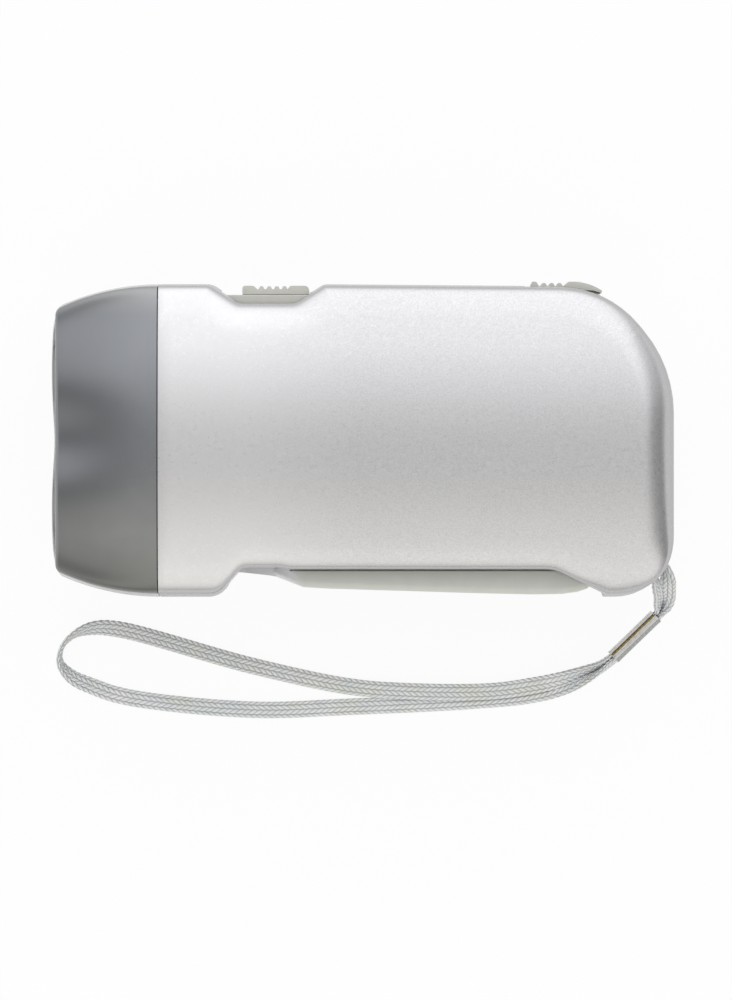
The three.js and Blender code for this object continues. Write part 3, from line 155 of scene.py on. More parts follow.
def bevel(obj, width, segments=2, angle=30, by_weight=False, sharp=35):
    """Rounds the edges that are sharper than an angle, or those that carry a weight."""
    modify(obj, "BEVEL", sharp, width=width * MM, segments=segments, angle_limit=math.radians(angle),
           limit_method="WEIGHT" if by_weight else "ANGLE", miter_outer="MITER_ARC")


def combine(obj, other, operation):
    """Joins or cuts with another object, which is then removed."""
    modify(obj, "BOOLEAN", operation=operation, solver="EXACT", object=other)
    bpy.data.objects.remove(other)


def ring_faces(rings, size, start=0):
    """Quads between closed rings that each hold size points."""
    faces = []
    for r in range(rings - 1):
        for i in range(size):
            a = start + r * size + i
            b = start + r * size + (i + 1) % size
            faces.append((a, b, b + size, a + size))
    return faces


def tube(rings, start=0):
    """Points and faces of a skin through closed rings, with flat ends."""
    size = len(rings[0])
    count = len(rings) * size
    faces = ring_faces(len(rings), size, start)
    faces.append(tuple(range(start, start + size))[::-1])
    faces.append(tuple(range(start + count - size, start + count)))
    return [p for ring in rings for p in ring], faces


def hoop(rings):
    """Points and faces of a skin through closed rings, the last of which joins the first."""
    verts = [p for ring in rings for p in ring]
    faces = ring_faces(len(rings) + 1, len(rings[0]))
    return verts, [tuple(i % len(verts) for i in face) for face in faces]


def circle(x, y, radius, sides):
    angles = [2 * math.pi * k / sides for k in range(sides)]
    return [(x + radius * math.cos(a), y + radius * math.sin(a)) for a in angles]


def rectangle(low_x, low_y, high_x, high_y):
    return [(low_x, low_y), (high_x, low_y), (high_x, high_y), (low_x, high_y)]


def arc(begin, before, radius, turn, steps):
    """Points of an arc that starts at begin in the direction before and turns by an angle."""
    centre = begin + Vector((-before.y, before.x)) * radius * math.copysign(1, turn)
    points = []
    for k in range(steps + 1):
        spoke = begin - centre
        spoke.rotate(Matrix.Rotation(turn * k / steps, 2))
        points.append(centre + spoke)
    return points


def rounded(corners, steps=6):
    """A closed outline from corners (x, y, radius), each turned into an arc."""
    points = []
    for i, (x, y, radius) in enumerate(corners):
        corner = Vector((x, y))
        before = (corner - Vector(corners[i - 1][:2])).normalized()
        after = (Vector(corners[(i + 1) % len(corners)][:2]) - corner).normalized()
        turn = math.atan2(before.x * after.y - before.y * after.x, before.dot(after))
        if radius == 0 or abs(turn) < 1e-3:
            points.append((x, y))
            continue
        begin = corner - before * radius * math.tan(abs(turn) / 2)
        points += [tuple(p) for p in arc(begin, before, radius, turn, steps)]
    return points


def prism(name, outline, low_z, high_z, body="body", finish="grey_plastic", rounding=0.0):
    """An outline in the XY plane, raised between two heights, with rounded edges."""
    rings = [[(x, y, z) for x, y in outline] for z in (low_z, high_z)]
    obj = add_mesh(name, *tube(rings), finish, body)
    if rounding:
        bevel(obj, rounding, 3)
    return obj


def carve(obj, outline, low_z, high_z, operation="DIFFERENCE"):
    """Cuts a prism out of a piece, or joins it on with UNION."""
    finish = next(name for name, material in MATERIALS.items() if material == obj.active_material)
    combine(obj, prism("tool", outline, low_z, high_z, finish=finish), operation)


def turned(name, profile, centre, direction, finish, sides):
    """A closed profile of (along, radius) pairs turned about an axis through centre."""
    along = Vector(direction).normalized()
    side = along.orthogonal().normalized()
    up = along.cross(side)
    rings = []
    for c, s in circle(0, 0, 1, sides):
        spoke = side * c + up * s
        rings.append([Vector(centre) + along * a + spoke * max(r, 1e-4) for a, r in profile])
    return add_mesh(name, *hoop(rings), finish, sharp=30, weld=True)


# Materials

MATERIALS = {}


class Tree:
    """A node tree, with short ways to add to it."""

    def __init__(self, tree):
        self.tree = tree

    def node(self, kind, inputs=None, **settings):
        """A new node. Its inputs are given by name or number, each as a value or as another node's output."""
        node = self.tree.nodes.new("ShaderNode" + kind)
        for key, value in settings.items():
            setattr(node, key, value)
        for key, value in (inputs or {}).items():
            self.feed(node.inputs[key], value)
        return node

    def feed(self, socket, value):
        if isinstance(value, bpy.types.NodeSocket):
            self.tree.links.new(value, socket)
        else:
            socket.default_value = value

    def split(self, vector):
        return self.node("SeparateXYZ", {0: vector}).outputs


class Paint(Tree):
    """A material with one Principled shader. A tuple in place of a value stands for a noise."""

    def __init__(self, name, color, roughness, **sockets):
        MATERIALS[name] = bpy.data.materials.new(name)
        MATERIALS[name].use_nodes = True
        super().__init__(MATERIALS[name].node_tree)
        self.sockets = self.tree.nodes["Principled BSDF"].inputs
        self.color = (*color, 1.0)
        for socket, value in {"Base Color": self.color, "Roughness": roughness, **sockets}.items():
            self.sockets[socket.replace("_", " ")].default_value = value

    def place(self, stretch=(1, 1, 1)):
        place = self.node("TexCoord").outputs["Object"]
        return self.node("Mapping", {"Vector": place, "Scale": stretch}).outputs["Vector"]

    def noise(self, size, detail=2.0, stretch=(1, 1, 1)):
        """A noise whose grains are about size millimetres."""
        inputs = {"Scale": 1 / (size * MM), "Detail": detail, "Vector": self.place(stretch)}
        return self.node("TexNoise", inputs).outputs["Fac"]

    def source(self, value):
        return self.noise(*value) if isinstance(value, tuple) else value

    def ramp(self, value, low, high, at=(0.3, 0.7)):
        """Turns a value from the range at into the range from low to high."""
        inputs = {"From Min": at[0], "From Max": at[1], "To Min": low, "To Max": high}
        return self.node("MapRange", {"Value": self.source(value), **inputs}).outputs["Result"]

    def tint(self, value, other, share=1.0, at=(0.3, 0.7)):
        """Mixes the colour so far with another one where value is high."""
        base = self.sockets["Base Color"]
        so_far = base.links[0].from_socket if base.is_linked else self.color
        inputs = {"A": so_far, "B": (*other, 1.0), "Factor": self.ramp(value, 0.0, share, at)}
        self.feed(base, self.node("Mix", inputs, data_type="RGBA").outputs["Result"])
        return self

    def rough(self, value, low, high):
        self.feed(self.sockets["Roughness"], self.ramp(value, low, high))
        return self

    def bump(self, value, depth, strength=0.5):
        """Adds relief, depth millimetres from low to high."""
        inputs = {"Strength": strength, "Distance": depth * MM, "Height": self.source(value)}
        self.feed(self.sockets["Normal"], self.node("Bump", inputs).outputs["Normal"])
        return self


def mix_shell_paints():
    """Silver satin for the casing, paler toward the head as a painted highlight and darker on its walls as
    painted shade, and smoke for the head.
    """
    grain = (0.26, 2)
    silver = Paint("silver_shell", (0.645, 0.64, 0.65), 0.3, Metallic=0.85)
    facing = silver.split(silver.node("TexCoord").outputs["Normal"])["Z"]
    level = silver.node("Math", {0: facing}, operation="ABSOLUTE").outputs[0]
    silver.tint(grain, (0.53, 0.53, 0.545), 0.6, (0.42, 0.62))
    # Painted highlight: paler toward the head, from x = -1 mm forward.
    silver.tint(silver.split(silver.place())["X"], (0.70, 0.695, 0.705), 0.7, (-1 * MM, -20 * MM))
    # Painted shade: darker where the surface faces sideways, on the walls.
    silver.tint(level, (0.40, 0.40, 0.405), 1.0, (0.85, 0.25))
    silver.rough((0.7, 2), 0.27, 0.34).bump(grain, 0.004)
    smoke = Paint("smoked_head", (0.25, 0.255, 0.252), 0.22, Metallic=0.75, Coat_Weight=0.25,
                  Coat_Roughness=0.12)
    height = smoke.split(smoke.place())["Y"]
    smoke.tint((3.5, 2), (0.22, 0.23, 0.235), 0.6)
    smoke.tint(height, (0.232, 0.244, 0.266), 0.7, (-14 * MM, -4 * MM))
    # Painted shade: darker toward the head's lower edge.
    smoke.tint(height, (0.165, 0.17, 0.160), 0.8, (-16 * MM, -24 * MM))
    # Painted highlight: paler toward the head's upper edge.
    smoke.tint(height, (0.36, 0.365, 0.36), 0.8, (21 * MM, 26 * MM))
    smoke.rough((0.5, 2), 0.21, 0.27).bump((0.35, 2), 0.004)


def mix_plastics():
    grey = Paint("grey_plastic", (0.61, 0.605, 0.56), 0.42).tint((2.2, 3), (0.57, 0.565, 0.52), 0.6)
    grey.rough((0.4, 2), 0.36, 0.48).bump((0.16, 2), 0.01)
    grip = Paint("lever_grey", (0.70, 0.715, 0.67), 0.42).tint((2.2, 3), (0.66, 0.67, 0.63), 0.6)
    # Painted highlight: the lever's neck, ahead of x = -10 mm, pale bluish white.
    grip.tint(grip.split(grip.place())["X"], (0.86, 0.87, 0.91), 1.0, (-10 * MM, -13.5 * MM))
    grip.rough((0.4, 2), 0.34, 0.46).bump((0.16, 2), 0.01)
    clear = Paint("clear_lens", (0.93, 0.95, 0.95), 0.03, Transmission_Weight=1.0, IOR=1.49)
    clear.rough((4, 2), 0.02, 0.06)
    resin = Paint("lamp_resin", (0.93, 0.93, 0.86), 0.05, Transmission_Weight=0.6, IOR=1.52)
    resin.tint((1.5, 2), (0.9, 0.88, 0.7), 0.4)
    board = Paint("circuit_board", (0.05, 0.2, 0.1), 0.35)
    board.tint((1.1, 1, (1, 3, 1)), (0.09, 0.3, 0.15), 1.0, (0.5, 0.52)).bump((0.3, 2), 0.01, 1.0)
    nylon = Paint("nylon", (0.78, 0.76, 0.70), 0.45, Subsurface_Weight=0.1)
    nylon.tint((2.5, 3), (0.72, 0.70, 0.62), 0.5).bump((0.2, 2), 0.01)
    black = Paint("black_plastic", (0.022, 0.022, 0.024), 0.42)
    black.tint((1.5, 3), (0.035, 0.035, 0.036), 0.7).bump((0.25, 2), 0.01, 0.6)
    film = Paint("sleeve_film", (0.03, 0.12, 0.4), 0.22, Coat_Weight=0.4, Coat_Roughness=0.1)
    film.tint((3, 2), (0.05, 0.16, 0.46), 0.6).bump((2, 2, (1, 1, 0.2)), 0.05)
    for name, color in (("red_wire", (0.5, 0.02, 0.02)), ("black_wire", (0.02, 0.02, 0.02))):
        wire = Paint(name, color, 0.38)
        wire.tint((1.5, 2), tuple(c * 0.7 for c in color), 0.5).bump((0.4, 2), 0.01)


def mix_metals():
    Paint("reflector_coating", (0.9, 0.9, 0.9), 0.08, Metallic=1.0).bump((1.2, 2), 0.01, 0.4)
    streaks = (0.25, 3, (1, 1, 0.08))
    steel = Paint("steel", (0.62, 0.63, 0.65), 0.26, Metallic=1.0)
    steel.tint(streaks, (0.52, 0.53, 0.55), 0.6).rough(streaks, 0.2, 0.36).bump(streaks, 0.004)
    copper = Paint("copper", (0.78, 0.36, 0.18), 0.28, Metallic=1.0)
    copper.tint((0.5, 2, (1, 6, 1)), (0.55, 0.22, 0.10), 0.7).bump((0.22, 1, (0.1, 1, 0.1)), 0.03, 1.0)
    magnet = Paint("magnet", (0.03, 0.03, 0.033), 0.5, Metallic=0.3)
    magnet.tint((0.4, 3), (0.07, 0.07, 0.075), 0.6).bump((0.3, 3), 0.02, 1.0)
    scratches = (0.18, 3, (1, 1, 0.15))
    # The second finish is a darker copy of the sleeve metal, painted shade for the face of the sleeve toward
    # +X and -Y.
    for name, color, worn in (("crimp_metal", (0.74, 0.735, 0.72), (0.55, 0.535, 0.51)),
                              ("crimp_side", (0.24, 0.24, 0.235), (0.16, 0.155, 0.145)),
                              ("crimp_seam", (0.42, 0.31, 0.10), (0.24, 0.17, 0.06))):
        sheet = Paint(name, color, 0.3, Metallic=0.9).tint((0.9, 3), worn, 0.6, (0.45, 0.7))
        sheet.rough(scratches, 0.24, 0.42).bump(scratches, 0.01, 0.7)


def mix_yarn():
    """Shiny light yarn, with painted shade where the groove attribute is 1, deep between the stitches."""
    yarn = Paint("strap_braid", (0.92, 0.925, 0.935), 0.45, Sheen_Weight=0.3, Sheen_Roughness=0.4)
    yarn.tint((3, 2), (0.80, 0.84, 0.88), 0.8)
    yarn.tint((7, 2, (1, 1.7, 1)), (0.82, 0.83, 0.73), 0.6, (0.5, 0.7))
    groove = yarn.node("Attribute", attribute_name="groove").outputs["Fac"]
    # Painted shade in the grooves between the stitches.
    yarn.tint(groove, (0.30, 0.32, 0.31), 0.85, (0.3, 1.0))
    yarn.bump((0.12, 2, (0.25, 1, 1)), 0.03)


def dress_nodes():
    """Gives every node of the frame the material of its slot."""
    for subpart in frame["record"]["subparts"]:
        mesh = frame["nodes"][subpart["node"]].data
        mesh.materials.clear()
        mesh.materials.append(MATERIALS[subpart["material_slot"]])


# Camera, lights and floor

CAMERA_PLACE = (0.26, -10.13, 1220.0)
LENS = 253.8                # millimetres, for a 36 mm sensor
FLOOR_WHITE = 0.93
FLOOR_GLOW = 0.93           # share of the floor's look that is plain white and takes no shadow

# Light of the studio: how many degrees a direction leans from straight up, with the radiance there

LIGHT_UP_THE_PICTURE = [(-85, 0.5), (-60, 0.8), (-30, 1.4), (-18, 1.26), (-9, 0.62), (0, 0.47), (6, 0.72),
                        (14, 1.4), (24, 1.82), (55, 1.6), (85, 1.2)]
LIGHT_ACROSS = [(-80, 0.60), (-45, 0.60), (-14, 1.0), (16, 1.0), (30, 0.88), (45, 0.48), (70, 0.34)]
BRIGHTEST = 1.9
PLAIN = (1.0, 1.0, 1.0)
COOL = (0.99, 0.99, 1.0)
WARM = (1.0, 0.988, 0.945)


def add_camera():
    data = bpy.data.cameras.new("camera")
    data.lens = LENS
    data.sensor_width = 36
    data.clip_start = 0.01
    camera = bpy.data.objects.new("camera", data)
    camera.location = [c * MM for c in CAMERA_PLACE]
    bpy.context.scene.collection.objects.link(camera)
    bpy.context.scene.camera = camera


def add_world():
    """A soft studio whose light comes mostly from beyond the torch's upper edge, and less from below."""
    world = bpy.data.worlds.new("studio")
    bpy.context.scene.world = world
    world.use_nodes = True
    studio = Tree(world.node_tree)
    direction = studio.split(studio.node("TexCoord").outputs["Generated"])

    def by_lean(axis, stops, low_tone, high_tone, peak):
        lean = studio.node("Math", {0: direction[axis]}, operation="ARCSINE").outputs[0]
        limits = {"Value": lean, "From Min": -math.pi / 2, "From Max": math.pi / 2}
        ramp = studio.node("ValToRGB", {"Fac": studio.node("MapRange", limits).outputs["Result"]})
        ramp.color_ramp.interpolation = "B_SPLINE"
        elements = ramp.color_ramp.elements
        while len(elements) < len(stops):
            elements.new(0.5)
        for k, (degrees, level) in enumerate(stops):
            elements[k].position = (degrees + 90) / 180
            tone = low_tone if degrees < 0 else high_tone
            elements[k].color = (*(level * c / peak for c in tone), 1)
        return ramp.outputs["Color"]

    inputs = {"Factor": 1.0, "A": by_lean("Y", LIGHT_UP_THE_PICTURE, WARM, COOL, BRIGHTEST),
              "B": by_lean("X", LIGHT_ACROSS, PLAIN, PLAIN, 1.0)}
    light = studio.node("Mix", inputs, data_type="RGBA", blend_type="MULTIPLY").outputs["Result"]
    background = studio.tree.nodes["Background"].inputs
    studio.feed(background["Color"], light)
    studio.feed(background["Strength"], BRIGHTEST)


def add_floor():
    """A pale floor that looks white and still darkens a little in the shadow of the torch."""
    bpy.ops.mesh.primitive_plane_add(size=8, location=(0, 0, -0.05 * MM))
    floor = bpy.context.object
    floor.name = "floor"
    material = bpy.data.materials.new("floor")
    material.use_nodes = True
    paint = Tree(material.node_tree)
    paint.tree.nodes.clear()
    rays = paint.node("LightPath").outputs
    seen = rays["Is Camera Ray"]
    for ray in ("Is Glossy Ray", "Is Transmission Ray"):
        seen = paint.node("Math", {0: seen, 1: rays[ray]}, operation="MAXIMUM").outputs[0]
    share = paint.node("Math", {0: seen, 1: FLOOR_GLOW}, operation="MULTIPLY").outputs[0]
    matt = paint.node("BsdfDiffuse", {"Color": (FLOOR_WHITE, FLOOR_WHITE, FLOOR_WHITE, 1)}).outputs[0]
    white = paint.node("Emission", {"Strength": 1.0}).outputs[0]
    paint.node("OutputMaterial", {0: paint.node("MixShader", {0: share, 1: matt, 2: white}).outputs[0]})
    floor.data.materials.append(material)


# Side outline of the body

Corner = namedtuple("Corner", "x y radius roll", defaults=(1.0,))


def body_corners():
    """Corners from the lower front round the tail to the upper front. roll says how much of an inset the edge
    that starts there takes."""
    recess_run = (TOP_Y - RECESS_FLOOR_Y) / RECESS_SLOPE
    slot_run = (SLOT_EDGE_Y - BOTTOM_Y) / SLOT_SLOPE
    return [
        Corner(SEAM_X, BOTTOM_Y, 0),
        Corner(SLOT_FRONT_X - 0.3, BOTTOM_Y, 3.8, 0.45),
        Corner(SLOT_FRONT_X + 1.4, SLOT_EDGE_Y - 2.15, 0.8, 0.5),
        Corner(SLOT_FRONT_X + 3.5, SLOT_EDGE_Y + 0.3, 2),
        Corner(-14.2, SLOT_EDGE_Y + 0.3, 2),
        Corner(-12.5, SLOT_EDGE_Y, 1.5),
        Corner(SLOT_REAR_X, SLOT_EDGE_Y, 6),
        Corner(SLOT_REAR_X + slot_run, BOTTOM_Y, 1),
        Corner(TAIL_X, BOTTOM_Y, 10.2),
        Corner(TAIL_X, TOP_Y - 14, 22),
        Corner(TAIL_X - 11.4, TOP_Y - 0.4, 18),
        Corner(RECESS_REAR_X + recess_run, TOP_Y, 2),
        Corner(RECESS_REAR_X, RECESS_FLOOR_Y, 2.5),
        Corner(RECESS_FRONT_X, RECESS_FLOOR_Y, 2),
        Corner(RECESS_FRONT_X - recess_run, TOP_Y, 3),
        Corner(SEAM_X, TOP_Y, 0),
    ]


def body_outline(inset):
    """Points along the outline, every edge moved in by its share of the inset, and as many at any inset."""
    corners = body_corners()
    places = [Vector((corner.x, corner.y)) for corner in corners]
    edges = []
    for corner, place, after in zip(corners, places, places[1:]):
        along = (after - place).normalized()
        edges.append((place + Vector((-along.y, along.x)) * inset * corner.roll, along))
    arcs = [[edges[0][0]]]
    for corner, (start, before), (next_start, after) in zip(corners[1:], edges, edges[1:]):
        cross = before.x * after.y - before.y * after.x
        gap = next_start - start
        vertex = start + before * ((gap.x * after.y - gap.y * after.x) / cross)
        turn = math.asin(cross)
        radius = max(corner.radius - inset, 0.4) if turn > 0 else corner.radius + 0.6 * inset
        begin = vertex - before * radius * math.tan(abs(turn) / 2)
        arcs.append(arc(begin, before, radius, turn, max(2, math.ceil(abs(turn) / ARC_STEP))))
    arcs.append([Vector((SEAM_X, edges[-1][0].y))])
    points = []
    for place, next_place, bend, next_bend in zip(places, places[1:], arcs, arcs[1:]):
        count = max(1, round((next_place - place).length / EDGE_STEP))
        points += bend + [bend[-1].lerp(next_bend[0], k / count) for k in range(1, count)]
    return points + arcs[-1]


# Shell halves

WALL_LEVELS = [opening.half_width for opening in (STRAP_SLOT, STEM_SLOT, SLIDER_TRACK, SWITCH_OPENING)]
WALL_LEVELS += [9.2, LEVER_SLOT.half_width]
FILLET_STEPS = 16
FRONT_STEPS = 16            # across the front of a broad face
EVENING = 9                 # rounds that soften the outline of a broad face at its corners
TAIL_FULLNESS = 0.22        # how much rounder the fillet is where it faces the tail
TOP_FULLNESS = 0.6          # how much squarer it is along the top
SLOT_FULLNESS = 2.4         # how much squarer it is along the lever slot
SLOT_UPRIGHT = 0.6          # share of the draft that the wall beside the slot lacks
SLOT_FADE_Y = -26.2         # where the slot's crisp edge begins, and how soon it is full
SLOT_FADE = 2.6
SIDE_Y = 18.0               # the openings' walls lie further out than this


def crown(y):
    return CROWN * (y / (TOP_Y - FILLET)) ** 2


def smooth_step(share):
    share = max(0.0, min(1.0, share))
    return share * share * (3 - 2 * share)


def fullness(across, up):
    """Exponent of the fillet's section where the side faces (across, up). 2 is a circle, more is squarer."""
    return 2.0 - TAIL_FULLNESS * max(across, 0) + TOP_FULLNESS * max(up, 0) ** 2


def slot_share(y, up):
    """1 along the lever slot, whose edge is crisper than the rest, and 0 away from it."""
    return smooth_step(max(0.0, min(1.0, (y - SLOT_FADE_Y) / SLOT_FADE)) * max(-up, 0))


def quarter_round(k, power):
    """How far in and how far up a rounded edge of radius 1 has come at step k."""
    angle = math.pi / 2 * k / FILLET_STEPS
    return 1 - math.cos(angle) ** (2 / power), math.sin(angle) ** (2 / power)


def side_facings(points):
    """The outward direction of the outline near each of its points."""
    facings = []
    for i in range(len(points)):
        along = Vector((0, 0))
        for step in range(1, 4):
            along += (points[min(i + step, len(points) - 1)] - points[max(i - step, 0)]).normalized()
        along.normalize()
        facings.append((along.y, -along.x))
    return facings


def evened(values, rounds=3):
    """Each value but the two at the ends drawn toward the mean of its neighbours."""
    for _ in range(rounds):
        between = [(a + 2 * b + c) / 4 for a, b, c in zip(values, values[1:], values[2:])]
        values = [values[0]] + between + [values[-1]]
    return values


def skin_grid(side, inner):
    """Rows of points from the parting line to the edge of the broad face, on one side of the middle."""
    wall = WALL if inner else 0
    radius = FILLET - DRAFT - wall
    straight = MID_Z - wall - radius
    outlines = [body_outline(inset) for inset in range(int(FILLET) + 1)]
    facings = side_facings(outlines[0])
    slots = evened([0.0 if inner else slot_share(p.y, f[1]) for p, f in zip(outlines[0], facings)])
    leans = [DRAFT * (1 - SLOT_UPRIGHT * slot) for slot in slots]

    def outline_at(index, inset):
        whole = min(int(inset), len(outlines) - 2)
        return outlines[whole][index].lerp(outlines[whole + 1][index], inset - whole)

    rows = []
    for height in [0.0, CHAMFER] + WALL_LEVELS:
        lean = DRAFT * height / straight
        if height == 0 and not inner:
            lean = CHAMFER
        points = [outline_at(i, wall + lean * leans[i] / DRAFT) for i in range(len(facings))]
        rows.append([(p.x, p.y, MID_Z + side * height) for p in points])
    for k in range(FILLET_STEPS + 1):
        places, rises = [], []
        for i, (across, up) in enumerate(facings):
            reach, rise = quarter_round(k, 2 if inner else fullness(across, up) + SLOT_FULLNESS * slots[i])
            places.append(outline_at(i, wall + leans[i] + (FILLET - wall - leans[i]) * reach))
            rises.append(rise)
        row = []
        for p, rise in zip(evened(places, round(EVENING * (k / FILLET_STEPS) ** 2)), rises):
            height = straight + radius * rise - rise ** 2 * crown(p.y)
            row.append((p.x, p.y, MID_Z + side * height))
        rows.append(row)
    return rows


def inside(point, polygon):
    x, y = point
    odd = False
    for (x0, y0), (x1, y1) in zip(polygon, polygon[1:] + polygon[:1]):
        if (y0 > y) != (y1 > y) and x < x0 + (y - y0) * (x1 - x0) / (y1 - y0):
            odd = not odd
    return odd


def distance_to(point, polygon):
    return min((Vector(point) - Vector(p)).length for p in polygon)


def fill(edge, spacing, holes=(), hole_sides=64):
    """Points and triangles that fill a flat outline with round holes, and its rings of points. The outline's
    points come first."""
    points = [Vector(p) for p in edge]
    rings = [list(range(len(edge)))]
    for (x, y), radius in holes:
        rings.append(list(range(len(points), len(points) + hole_sides)))
        points += [Vector(p) for p in circle(x, y, radius, hole_sides)]
    lines = [(ring[k], ring[(k + 1) % len(ring)]) for ring in rings for k in range(len(ring))]
    (low_x, high_x), (low_y, high_y) = ((min(values), max(values)) for values in zip(*edge))
    for i in range(1, int((high_x - low_x) / spacing)):
        for j in range(1, int((high_y - low_y) / spacing)):
            p = (low_x + i * spacing, low_y + j * spacing)
            clear = all(math.dist(p, c) > r + spacing / 3 for c, r in holes)
            if clear and inside(p, edge) and distance_to(p, edge) > spacing / 2:
                points.append(Vector(p))
    placed, _, triangles, origins, _, _ = delaunay_2d_cdt(points, lines, [], 0, 1e-5)
    kept = []
    for triangle in triangles:
        middle = tuple(sum(placed[i][axis] for i in triangle) / 3 for axis in (0, 1))
        if inside(middle, edge) and all(math.dist(middle, c) > r * 0.98 for c, r in holes):
            kept.append(tuple(min(origins[i]) for i in triangle))
    return points, kept, rings


def in_opening(opening, point):
    x, y, z = point
    within = opening.low < x < opening.high and abs(z - MID_Z) < opening.half_width
    return within and y * opening.side > SIDE_Y


def shell_half(side):
    """Points, faces and beveled edges of one half of the casing: an outer and an inner skin, tied at the rims
    of the openings, the parting line and the front."""
    verts, faces, rims, skins = [], [], [], []
    for inner in (False, True):
        rows = skin_grid(side, inner)
        start, width = len(verts), len(rows[0])
        verts += [p for row in rows for p in row]
        low_y, high_y = rows[-1][0][1], rows[-1][-1][1]
        front = [(SEAM_X, high_y + (low_y - high_y) * k / FRONT_STEPS) for k in range(1, FRONT_STEPS)]
        points, triangles, _ = fill([p[:2] for p in rows[-1]] + front, FACE_GRID)
        top = start + (len(rows) - 1) * width
        index = list(range(top, top + width)) + list(range(len(verts), len(verts) + len(points) - width))
        depth = WALL if inner else 0
        verts += [(p.x, p.y, MID_Z + side * (MID_Z - depth - crown(p.y))) for p in points[width:]]
        faces += [tuple(index[i] for i in triangle) for triangle in triangles]
        chain = [start + r * width for r in range(len(rows))]
        chain += [index[i] for i in range(width + len(front) - 1, width - 1, -1)]
        chain += [start + r * width + width - 1 for r in range(len(rows) - 1, -1, -1)]
        skins.append((start, rows, chain))
    (outer, rows, outer_chain), (inner, _, inner_chain) = skins
    cells = [(r, c) for r in range(len(rows) - 1) for c in range(width - 1)]
    grid, open_cells, track_cells, floor_of = set(cells), set(), set(), {}

    def around(cell):
        r, c = cell
        return [(r, c), (r, c + 1), (r + 1, c + 1), (r + 1, c)]

    def outside(place):
        return outer + place[0] * width + place[1]

    def within(place):
        return inner + place[0] * width + place[1]

    def on_floor(place):
        """The point of the slider's track below a place of the outer skin."""
        if place not in floor_of:
            x, _, z = rows[place[0]][place[1]]
            floor_of[place] = len(verts)
            verts.append((x, TRACK_FLOOR_Y, z))
        return floor_of[place]

    def tie(top, bottom, a, b):
        faces.append((top(a), top(b), bottom(b), bottom(a)))
        rims.append((top(a), top(b)))

    for cell in cells:
        corners = [rows[r][c] for r, c in around(cell)]
        centre = [sum(values) / 4 for values in zip(*corners)]
        if any(in_opening(o, centre) for o in (LEVER_SLOT, SWITCH_OPENING, STRAP_SLOT, STEM_SLOT)):
            open_cells.add(cell)
        if in_opening(SLIDER_TRACK, centre) and min(p[1] for p in corners) > TRACK_FLOOR_Y + 0.05:
            track_cells.add(cell)
    for cell in cells:
        r, c = cell
        corners = around(cell)
        if cell not in open_cells:
            faces.append(tuple(within(p) for p in corners))
            faces.append(tuple((on_floor if cell in track_cells else outside)(p) for p in corners))
        beyond_each = [(r - 1, c), (r, c + 1), (r + 1, c), (r, c - 1)]
        for a, b, beyond in zip(corners, corners[1:] + corners[:1], beyond_each):
            if beyond in grid and cell in track_cells and beyond not in track_cells:
                tie(outside, on_floor, a, b)
            if beyond in grid and cell in open_cells and beyond not in open_cells:
                tie(on_floor if beyond in track_cells else outside, within, a, b)
    for cell in cells[:width - 1]:
        if cell not in open_cells:
            top = on_floor if cell in track_cells else outside
            a, b = around(cell)[:2]
            faces.append((top(a), top(b), within(b), within(a)))
    for a, b, a_in, b_in in zip(outer_chain, outer_chain[1:], inner_chain, inner_chain[1:]):
        faces.append((a, b, b_in, a_in))
        rims.append((a, b))
    return verts, faces, rims


def add_shell(name, side):
    verts, faces, rims = shell_half(side)
    shell = add_mesh(name, verts, faces, "silver_shell", sharp=40)
    marks = shell.data.attributes.new("bevel_weight_edge", "FLOAT", "EDGE")
    wanted = {tuple(sorted(pair)) for pair in rims}
    for edge in shell.data.edges:
        if tuple(sorted(edge.vertices)) in wanted:
            marks.data[edge.index].value = 1.0
    bevel(shell, EDGE_BEVEL, by_weight=True, sharp=40)
    return shell


SCREW_BOXES = [box_mm(f"casing_screw_{k}") for k in range(1, 5)]
COUNTERBORE = 2.2
COUNTERBORE_TOP = SCREW_BOXES[0][0].z + 1.4
POST = 3.3
SCREW_HOLE = 1.2


def at_screws(radius, low_of, high_z, sides=48):
    """A cylinder on the axis of every casing screw, all in one mesh."""
    verts, faces = [], []
    for low, high in SCREW_BOXES:
        x, y = (low.x + high.x) / 2, (low.y + high.y) / 2
        rings = [[(*p, z) for p in circle(x, y, radius, sides)] for z in (low_of(y), high_z)]
        points, quads = tube(rings, len(verts))
        verts += points
        faces += quads
    return add_mesh("tool", verts, faces, "silver_shell")


def add_shells():
    """The casing. The lower half has posts inside, each with a counterbore for the head of its screw."""
    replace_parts(add_shell("upper_casing", 1), "upper_shell")
    lower = add_shell("lower_casing", -1)
    combine(lower, at_screws(POST, lambda y: crown(y) + 0.9, COUNTERBORE_TOP + 1.4), "UNION")
    combine(lower, at_screws(COUNTERBORE, lambda y: -1.0, COUNTERBORE_TOP), "DIFFERENCE")
    combine(lower, at_screws(SCREW_HOLE, lambda y: 1.0, COUNTERBORE_TOP + 3), "DIFFERENCE")
    shade(lower.data, 40)
    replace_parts(lower, "lower_shell")


# Head

